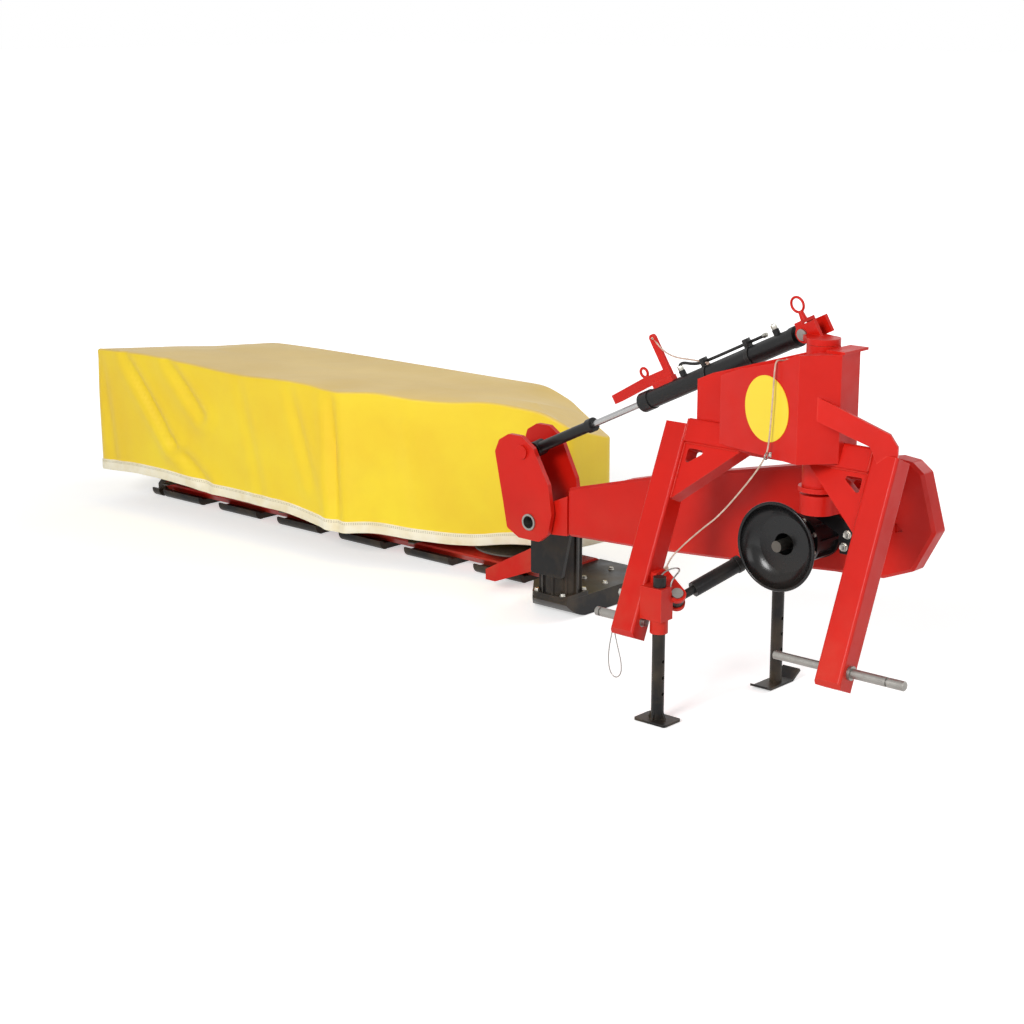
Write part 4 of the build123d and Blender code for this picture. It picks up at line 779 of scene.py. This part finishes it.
class CoverPlan:
    """The cover's outline in plan, and the places of its points."""

    def __init__(self, settings):
        self.settings = settings
        loop = spaced(FRONT_WALL + BACK_WALL + FRONT_WALL[:1], settings.spacing)
        loop = softened(loop, OUTLINE_ROUNDS)
        self.loop = softened(loop, HEIGHT_ROUNDS, keep_plan=True)
        self.count = len(self.loop)
        self.outward = []
        for i in range(self.count):
            before, after = self.loop[i - 1], self.loop[(i + 1) % self.count]
            run = Vector((after[0] - before[0], after[1] - before[1]))
            self.outward.append(Vector((run.y, -run.x)).normalized())

    def wall_point(self, i, z):
        """The place on the wall over one point of the outline at one height."""
        x, y, top, _ = self.loop[i]
        loose = min(1.0, max(0.0, (top - z) / FREE_BELOW))
        flutter = self.settings.flutter
        wave = fold_noise(x, y, z, WIDE_FOLDS) * flutter
        wave += fold_noise(x, y, z, FINE_FOLDS) * flutter * FINE_FOLD_SHARE
        push = wave * (TIGHT_SHARE + loose) - WALL_SET_IN
        if y < FRONT_LIMIT:
            push -= crease_depth(x, z)
        out = self.outward[i]
        return Vector((x + out.x * push, y + out.y * push, z))

    def column(self, i):
        """The points from the hem up the wall, round the fold and over the roof to the ridge."""
        _, _, top, low = self.loop[i]
        radius = self.settings.fold_radius
        points = [self.wall_point(i, low + (top - radius - low) * j / WALL_ROWS)
                  for j in range(WALL_ROWS + 1)]
        edge = points[-1]
        inward = -self.outward[i]
        for j in range(1, FOLD_ROWS + 1):
            turn = math.pi / 2 * j / FOLD_ROWS
            points.append(Vector((
                edge.x + inward.x * radius * (1 - math.cos(turn)),
                edge.y + inward.y * radius * (1 - math.cos(turn)),
                edge.z + radius * math.sin(turn))))
        start = points[-1]
        end = Vector((min(RIDGE_RIGHT, max(RIDGE_LEFT, start.x)), RIDGE_Y, RIDGE_Z))
        for j in range(1, ROOF_ROWS + 1):
            share = j / ROOF_ROWS
            place = start.lerp(end, share)
            swell = math.sin(math.pi * share)
            place.z += swell * (noise.noise(place * ROOF_WAVES) * ROOF_WAVE + ROOF_RISE)
            place.z += (1 - share) * noise.noise(place * ROOF_RIPPLES) * ROOF_RIPPLE
            points.append(place)
        return points

    def fill_cover(self, made):
        """Fills the mesh of the walls and the roof, with each point's share of wall colour."""
        wall_share = made.verts.layers.float.new("wall_share")
        columns = []
        for i in range(self.count):
            verts = []
            for j, place in enumerate(self.column(i)):
                vert = made.verts.new(place)
                vert[wall_share] = min(1.0, max(0.0, (ROOF_COLOUR_ROW - j) / COLOUR_FADE_ROWS))
                verts.append(vert)
            columns.append(verts)
        for i in range(self.count):
            left, right = columns[i], columns[(i + 1) % self.count]
            for j in range(len(left) - 1):
                made.faces.new((left[j], right[j], right[j + 1], left[j + 1]))
        bmesh.ops.remove_doubles(made, verts=made.verts, dist=MERGE_WITHIN)

    def fill_hem(self, made):
        """Fills the mesh of the hem, with each point's height and its way round the cover."""
        tall = self.settings.hem_height
        hem_height = made.verts.layers.float.new("hem_height")
        hem_run = made.verts.layers.float.new("hem_run")
        run = 0.0
        rings = []
        for i in range(self.count):
            x, y, _, low = self.loop[i]
            puff = 1.0 + HEM_PUFF * noise.noise(Vector((x * HEM_PUFFS, y * HEM_PUFFS, 0)))
            ring = []
            for out, share, added in HEM_SECTION:
                up = tall * share + added
                place = self.wall_point(i, low + up)
                vert = made.verts.new((place.x + self.outward[i].x * out * puff,
                                       place.y + self.outward[i].y * out * puff, place.z))
                vert[hem_height], vert[hem_run] = up, run
                ring.append(vert)
            rings.append(ring)
            after = self.loop[(i + 1) % self.count]
            run += math.hypot(after[0] - x, after[1] - y)
        for i in range(self.count):
            left, right = rings[i], rings[(i + 1) % self.count]
            for j in range(len(HEM_SECTION)):
                k = (j + 1) % len(HEM_SECTION)
                made.faces.new((left[j], right[j], right[k], left[k]))


class MOWER_OT_canopy(bpy.types.Operator):
    """Makes the cloth cover over the discs with its sewn hem"""

    bl_idname = "mower.canopy"
    bl_label = "Canopy"

    def execute(self, context):
        settings = context.scene.mower_canopy
        plan = CoverPlan(settings)
        cover = new_piece("canopy_cover", plan.fill_cover)
        applied(cover, "SOLIDIFY", thickness=settings.cloth, offset=-1.0)
        smoothed(cover, 50)
        cover.data.materials.append(canopy_cloth(settings))
        hem = new_piece("canopy_hem", plan.fill_hem)
        smoothed(hem, 60)
        hem.data.materials.append(hem_cloth(settings))
        for piece in (cover, hem):
            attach(piece, "cutterbar")
        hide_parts("canopy_cloth")
        return {"FINISHED"}


class RopeSettings(bpy.types.PropertyGroup):
    """The ropes and their knots."""

    knot_size: FloatProperty(
        name="Knot", description="Size of a knot against the rope's thickness", default=0.44)
    knot_points: IntProperty(
        name="Knot points", description="Points round a knot", default=28)
    colour: colour_setting("Rope", "Colour of the clean rope", 214, 186, 170)
    soil: colour_setting("Rope soil", "Colour of the soiled rope", 176, 150, 128)


def knot_turns(place, size, count):
    """Points round an overhand knot at a place."""
    turns = []
    for i in range(count):
        t = 2 * math.pi * i / count
        wide = 2 + math.cos(3 * t)
        turns.append(Vector((wide * math.cos(2 * t), wide * math.sin(2 * t),
                             KNOT_RISE * math.sin(3 * t))) * size + Vector(place))
    return turns


class MOWER_OT_ropes(bpy.types.Operator):
    """Makes the pull rope of the lock and the rope down to the left leg"""

    bl_idname = "mower.ropes"
    bl_label = "Ropes"

    def execute(self, context):
        settings = context.scene.mower_rope
        fibre = rope_fibre(settings)
        for name, (body, thick, length, lay, points) in ROPES.items():
            rope = finished(smooth_line(name, points, thick), fibre, body)
            for end, place in (("start", points[0]), ("end", points[-1])):
                turns = knot_turns(place, thick * settings.knot_size, settings.knot_points)
                knot = solid_line(name + "_knot_" + end, turns, thick * KNOT_STRAND, closed=True)
                finished(knot, fibre, body)
        return {"FINISHED"}


class HardwareSettings(bpy.types.PropertyGroup):
    """Bolts, pipe, wires and welds."""

    washer: FloatProperty(
        name="Washer", description="Radius of a washer against its bolt", default=1.25)
    head_height: FloatProperty(
        name="Head height", description="Height of a head against its radius", default=0.75)
    pipe_radius: FloatProperty(
        name="Pipe", description="Radius of the oil pipe", subtype="DISTANCE", default=0.005)
    weld_ripple: FloatProperty(
        name="Ripple", description="Depth of a weld's ripples", subtype="DISTANCE",
        default=0.0008)
    zinc: colour_setting("Zinc", "Colour of the bolts' plating", 196, 194, 186)
    dull_zinc: colour_setting("Dull zinc", "Colour of the pipe nuts' plating", 170, 168, 160)
    wire: colour_setting("Wire", "Colour of the spring wire", 150, 148, 144)
    pipe_paint: colour_setting("Pipe paint", "Colour of the pipe and clamps", 34, 33, 33)
    rubber: colour_setting("Rubber", "Colour of the grease cover", 62, 52, 48)
    weld_paint: colour_setting("Weld paint", "Colour of the painted welds", 200, 32, 18)


def bolt_model(settings):
    """One bolt head on its washer, with a head of radius 1 that points up."""
    tall = settings.head_height
    bpy.ops.object.select_all(action="DESELECT")
    bpy.ops.mesh.primitive_cylinder_add(vertices=24, radius=settings.washer, depth=WASHER_THICK,
                                        location=(0, 0, WASHER_THICK / 2))
    washer = bpy.context.object
    bpy.ops.object.mode_set(mode="EDIT")
    pick_faces(washer, lambda face: face.normal.z > UPWARDS)
    bpy.ops.mesh.bevel(offset=WASHER_BEVEL, segments=1)
    bpy.ops.object.mode_set(mode="OBJECT")
    bpy.ops.mesh.primitive_cylinder_add(vertices=6, radius=1.0, depth=tall,
                                        location=(0, 0, WASHER_THICK + tall / 2))
    head = bpy.context.object
    bpy.ops.object.mode_set(mode="EDIT")
    pick_faces(head, lambda face: face.normal.z > UPWARDS)
    bpy.ops.mesh.bevel(offset=HEAD_BEVEL, segments=2)
    pick_faces(head, lambda face: face.normal.z > STRAIGHT_UP)
    bpy.ops.mesh.inset(thickness=HEAD_RIM)
    bpy.ops.transform.translate(value=(0, 0, -HEAD_DISH))
    bpy.ops.object.mode_set(mode="OBJECT")
    return joined(head, washer)


def pipe_nut_model():
    """One pipe nut of radius 1 with the stub of its pipe, pointing up."""
    bpy.ops.object.select_all(action="DESELECT")
    bpy.ops.mesh.primitive_cylinder_add(vertices=6, radius=1.0, depth=NUT_TALL,
                                        location=(0, 0, NUT_TALL / 2))
    nut = bpy.context.object
    bpy.ops.object.mode_set(mode="EDIT")
    pick_faces(nut, lambda face: abs(face.normal.z) > UPWARDS)
    bpy.ops.mesh.bevel(offset=NUT_BEVEL, segments=2)
    pick_faces(nut, lambda face: face.normal.z > STRAIGHT_UP)
    bpy.ops.mesh.inset(thickness=NUT_RIM)
    bpy.ops.mesh.extrude_region_move(TRANSFORM_OT_translate={"value": (0, 0, NUT_STUB)})
    bpy.ops.object.mode_set(mode="OBJECT")
    bpy.ops.object.transform_apply(location=True, rotation=True, scale=True)
    return nut


def clamp_model():
    """One band round a barrel along Z, with the block that holds the pipe on its +Y side."""
    bpy.ops.object.select_all(action="DESELECT")
    bpy.ops.mesh.primitive_cylinder_add(vertices=40, radius=BAND_R, depth=CLAMP_WIDE,
                                        end_fill_type="NOTHING", location=(0, 0, 0))
    band = bpy.context.object
    applied(band, "SOLIDIFY", thickness=BAND_THICK, offset=1.0)
    bpy.ops.mesh.primitive_cube_add(size=1.0, location=(0.0, BLOCK_UP, 0.0))
    block = bpy.context.object
    block.scale = (BLOCK_SIDE, BLOCK_SIDE, CLAMP_WIDE)
    bpy.ops.object.transform_apply(location=True, rotation=True, scale=True)
    applied(block, "BEVEL", width=BLOCK_BEVEL, segments=2)
    return joined(band, block)


class MOWER_OT_bolts(bpy.types.Operator):
    """Puts bolt heads on their washers where the pieces are bolted"""

    bl_idname = "mower.bolts"
    bl_label = "Bolts"

    def execute(self, context):
        settings = context.scene.mower_hardware
        model = bolt_model(settings)
        zinc = bare_metal("zinc_plate", settings.zinc, 0.34)
        for name, (body, direction, size, places) in BOLTS.items():
            for number, place in enumerate(places, 1):
                bolt = moved_copy(model, name + "_" + str(number),
                                  turned_to(place, direction, size))
                finished(bolt, zinc, body)
        bpy.data.objects.remove(model)
        return {"FINISHED"}


class MOWER_OT_oil_pipe(bpy.types.Operator):
    """Makes the oil pipe on the lift barrel with its nuts and clamps"""

    bl_idname = "mower.oil_pipe"
    bl_label = "Oil pipe"

    def execute(self, context):
        settings = context.scene.mower_hardware
        zinc = bare_metal("fitting_zinc", settings.dull_zinc, 0.36)
        # The pipe paint's second colour is the painted highlight along its edges
        dark = painted_steel("pipe_paint", settings.pipe_paint, linear(110, 106, 100), 0.35)
        pipe = solid_line("oil_pipe", [lift_place(*spot) for spot in PIPE_SPOTS],
                          settings.pipe_radius * 2)
        finished(pipe, dark, "lift_barrel", 60.0)
        nut = pipe_nut_model()
        for name, (spot, direction, size) in PIPE_NUTS.items():
            made = moved_copy(nut, name, turned_to(lift_place(*spot), direction, size))
            finished(made, zinc, "lift_barrel")
        bpy.data.objects.remove(nut)
        clamp = clamp_model()
        base = Matrix((LIFT_SIDE, LIFT_UP, LIFT_SIDE.cross(LIFT_UP))).transposed().to_4x4()
        for number, along in enumerate(CLAMPS_ALONG, 1):
            made = moved_copy(clamp, "pipe_clamp_" + str(number),
                              Matrix.Translation(lift_place(along)) @ base)
            finished(made, dark, "lift_barrel")
        bpy.data.objects.remove(clamp)
        return {"FINISHED"}


class MOWER_OT_grease_cover(bpy.types.Operator):
    """Makes the bent rubber cover on top of the fold hinge"""

    bl_idname = "mower.grease_cover"
    bl_label = "Grease cover"

    def execute(self, context):
        settings = context.scene.mower_hardware
        (axis_x, axis_z), radius, ends, half_angle = GREASE_COVER
        middle = GREASE_STEPS / 2

        def fill_strip(made):
            rows = []
            for y in ends:
                row = []
                for i in range(GREASE_STEPS + 1):
                    angle = math.radians(half_angle * (i - middle) / middle)
                    row.append(made.verts.new((axis_x + radius * math.sin(angle), y,
                                               axis_z + radius * math.cos(angle))))
                rows.append(row)
            for i in range(GREASE_STEPS):
                made.faces.new((rows[0][i], rows[0][i + 1], rows[1][i + 1], rows[1][i]))

        cover = new_piece("grease_cover", fill_strip)
        applied(cover, "SOLIDIFY", thickness=GREASE_THICK, offset=0.0)
        applied(cover, "BEVEL", width=GREASE_BEVEL, segments=2)
        # The rubber's second colour is the painted highlight along its edges
        rubber = painted_steel("cover_rubber", settings.rubber, linear(96, 84, 78), 0.6, coat=0.0)
        finished(cover, rubber, "swing_frame")
        return {"FINISHED"}


class MOWER_OT_wires(bpy.types.Operator):
    """Makes the loop on the toe, the bail on the stand and the eye for the rope"""

    bl_idname = "mower.wires"
    bl_label = "Wires"

    def execute(self, context):
        wire = bare_metal("spring_wire", context.scene.mower_hardware.wire, 0.3)
        for name, (body, thick, closed, points) in WIRES.items():
            finished(solid_line(name, points, thick, closed), wire, body, 60.0)
        return {"FINISHED"}


class MOWER_OT_welds(bpy.types.Operator):
    """Lays painted weld beads along the main joints"""

    bl_idname = "mower.welds"
    bl_label = "Welds"

    def execute(self, context):
        settings = context.scene.mower_hardware
        # The weld paint's second colour is the painted highlight along its edges
        red = painted_steel("weld_paint", settings.weld_paint, linear(226, 88, 70), 0.42)
        lean = Matrix.Rotation(-LEG_LEAN, 3, "X")
        for name, (radius, (start, end)) in LEG_WELDS.items():
            a, b = lean @ Vector(start), lean @ Vector(end)
            count = round((b - a).length / WELD_STEP)
            bead = solid_line(name, [a.lerp(b, i / count) for i in range(count + 1)], radius * 2)
            for vert in bead.data.vertices:
                ripple = noise.noise(vert.co * WELD_RIPPLES) * settings.weld_ripple
                vert.co += vert.normal * ripple
            finished(bead, red, "headstock", 60.0)
        return {"FINISHED"}


class FinishSettings(bpy.types.PropertyGroup):
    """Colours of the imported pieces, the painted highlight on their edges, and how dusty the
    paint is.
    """

    red_paint: colour_setting("Red paint", "Colour of the frame", 206, 26, 13)
    black_paint: colour_setting("Black paint", "Colour of cylinders and stands", 22, 22, 23)
    bowl_plastic: colour_setting("Bowl", "Colour of the shaft's shield bowl", 16, 16, 17)
    plated_steel: colour_setting("Plated steel", "Colour of the pins", 150, 147, 142)
    input_steel: colour_setting("Input shaft", "Colour of the input shaft", 96, 92, 86)
    chrome: colour_setting("Chrome", "Colour of the lift cylinder's rod", 176, 176, 176)
    disc_steel: colour_setting("Discs", "Colour of the bare discs", 96, 92, 88)
    label: colour_setting("Label", "Colour of the bare label", 242, 216, 40)
    dust_colour: colour_setting("Dust", "Colour of the dust low down", 150, 128, 98)
    dust: FloatProperty(
        name="Dust share", description="How much the dust hides", subtype="FACTOR", default=0.22)
    dust_low: FloatProperty(
        name="Dust foot", description="Height at which the dust is full", subtype="DISTANCE",
        default=-0.31)
    dust_top: FloatProperty(
        name="Dust top", description="Height at which the dust ends", subtype="DISTANCE",
        default=0.25)
    # A painted highlight: how much lighter the edges are painted, and how wide
    edge_highlight: FloatProperty(
        name="Edge wear", description="How much lighter the edges are", subtype="FACTOR",
        default=0.4)
    edge_width: FloatProperty(
        name="Edge width", description="Width of the lighter edges", subtype="DISTANCE",
        default=0.004)


class MOWER_OT_finishes(bpy.types.Operator):
    """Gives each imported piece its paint, metal or cloth"""

    bl_idname = "mower.finishes"
    bl_label = "Finishes"

    def execute(self, context):
        own = context.scene.mower_finish
        disc_steel = bare_metal("disc_steel", own.disc_steel, 0.45)
        # Each painted finish's second colour is the painted highlight along its edges
        finishes = {
            "red_paint": painted_steel("red_paint", own.red_paint, linear(228, 84, 66), 0.40),
            "black_paint": painted_steel("black_paint", own.black_paint, linear(84, 82, 80),
                                         0.38),
            "bowl_plastic": painted_steel("bowl_plastic", own.bowl_plastic, linear(50, 50, 50),
                                          0.24, coat=0.25),
            "input_steel": bare_metal("input_steel", own.input_steel, 0.4),
            "plated_steel": bare_metal("plated_steel", own.plated_steel, 0.36),
            "chrome_rod": bare_metal("chrome_rod", own.chrome, 0.2, tint=0.1),
            "yellow_cloth": plain_cloth("yellow_cloth", linear(248, 226, 48),
                                        linear(238, 200, 40)),
            "label_yellow": plain_cloth("label_yellow", own.label, linear(238, 208, 34), 0.4),
        }
        finish_of = {piece: finishes[finish] for finish, pieces in PIECES_BY_FINISH.items()
                     for piece in pieces}
        for name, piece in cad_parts.items():
            for slot in piece.material_slots:
                slot.material = finish_of.get(name, disc_steel)
        return {"FINISHED"}


class MOWER_PT_panel(bpy.types.Panel):
    """Lists the mower's operators"""

    bl_label = "Mower"
    bl_idname = "MOWER_PT_panel"
    bl_space_type = "VIEW_3D"
    bl_region_type = "UI"
    bl_category = "Mower"

    def draw(self, context):
        for operator in OPERATORS:
            self.layout.operator(operator.bl_idname)


OPERATORS = (
    MOWER_OT_stage, MOWER_OT_ropes, MOWER_OT_canopy, MOWER_OT_bolts, MOWER_OT_oil_pipe,
    MOWER_OT_grease_cover, MOWER_OT_wires, MOWER_OT_welds, MOWER_OT_finishes,
)
CLASSES = (
    StageSettings, RopeSettings, CanopySettings, HardwareSettings, FinishSettings,
) + OPERATORS + (MOWER_PT_panel,)


def register():
    for each in CLASSES:
        bpy.utils.register_class(each)
    bpy.types.Scene.mower_stage = PointerProperty(type=StageSettings)
    bpy.types.Scene.mower_rope = PointerProperty(type=RopeSettings)
    bpy.types.Scene.mower_canopy = PointerProperty(type=CanopySettings)
    bpy.types.Scene.mower_hardware = PointerProperty(type=HardwareSettings)
    bpy.types.Scene.mower_finish = PointerProperty(type=FinishSettings)


def unregister():
    del bpy.types.Scene.mower_stage
    del bpy.types.Scene.mower_rope
    del bpy.types.Scene.mower_canopy
    del bpy.types.Scene.mower_hardware
    del bpy.types.Scene.mower_finish
    for each in reversed(CLASSES):
        bpy.utils.unregister_class(each)


def main():
    register()
    bpy.ops.mower.stage()
    bpy.ops.mower.ropes()
    bpy.ops.mower.canopy()
    bpy.ops.mower.bolts()
    bpy.ops.mower.oil_pipe()
    bpy.ops.mower.grease_cover()
    bpy.ops.mower.wires()
    bpy.ops.mower.welds()
    bpy.ops.mower.finishes()


if __name__ == "__main__":
    main()
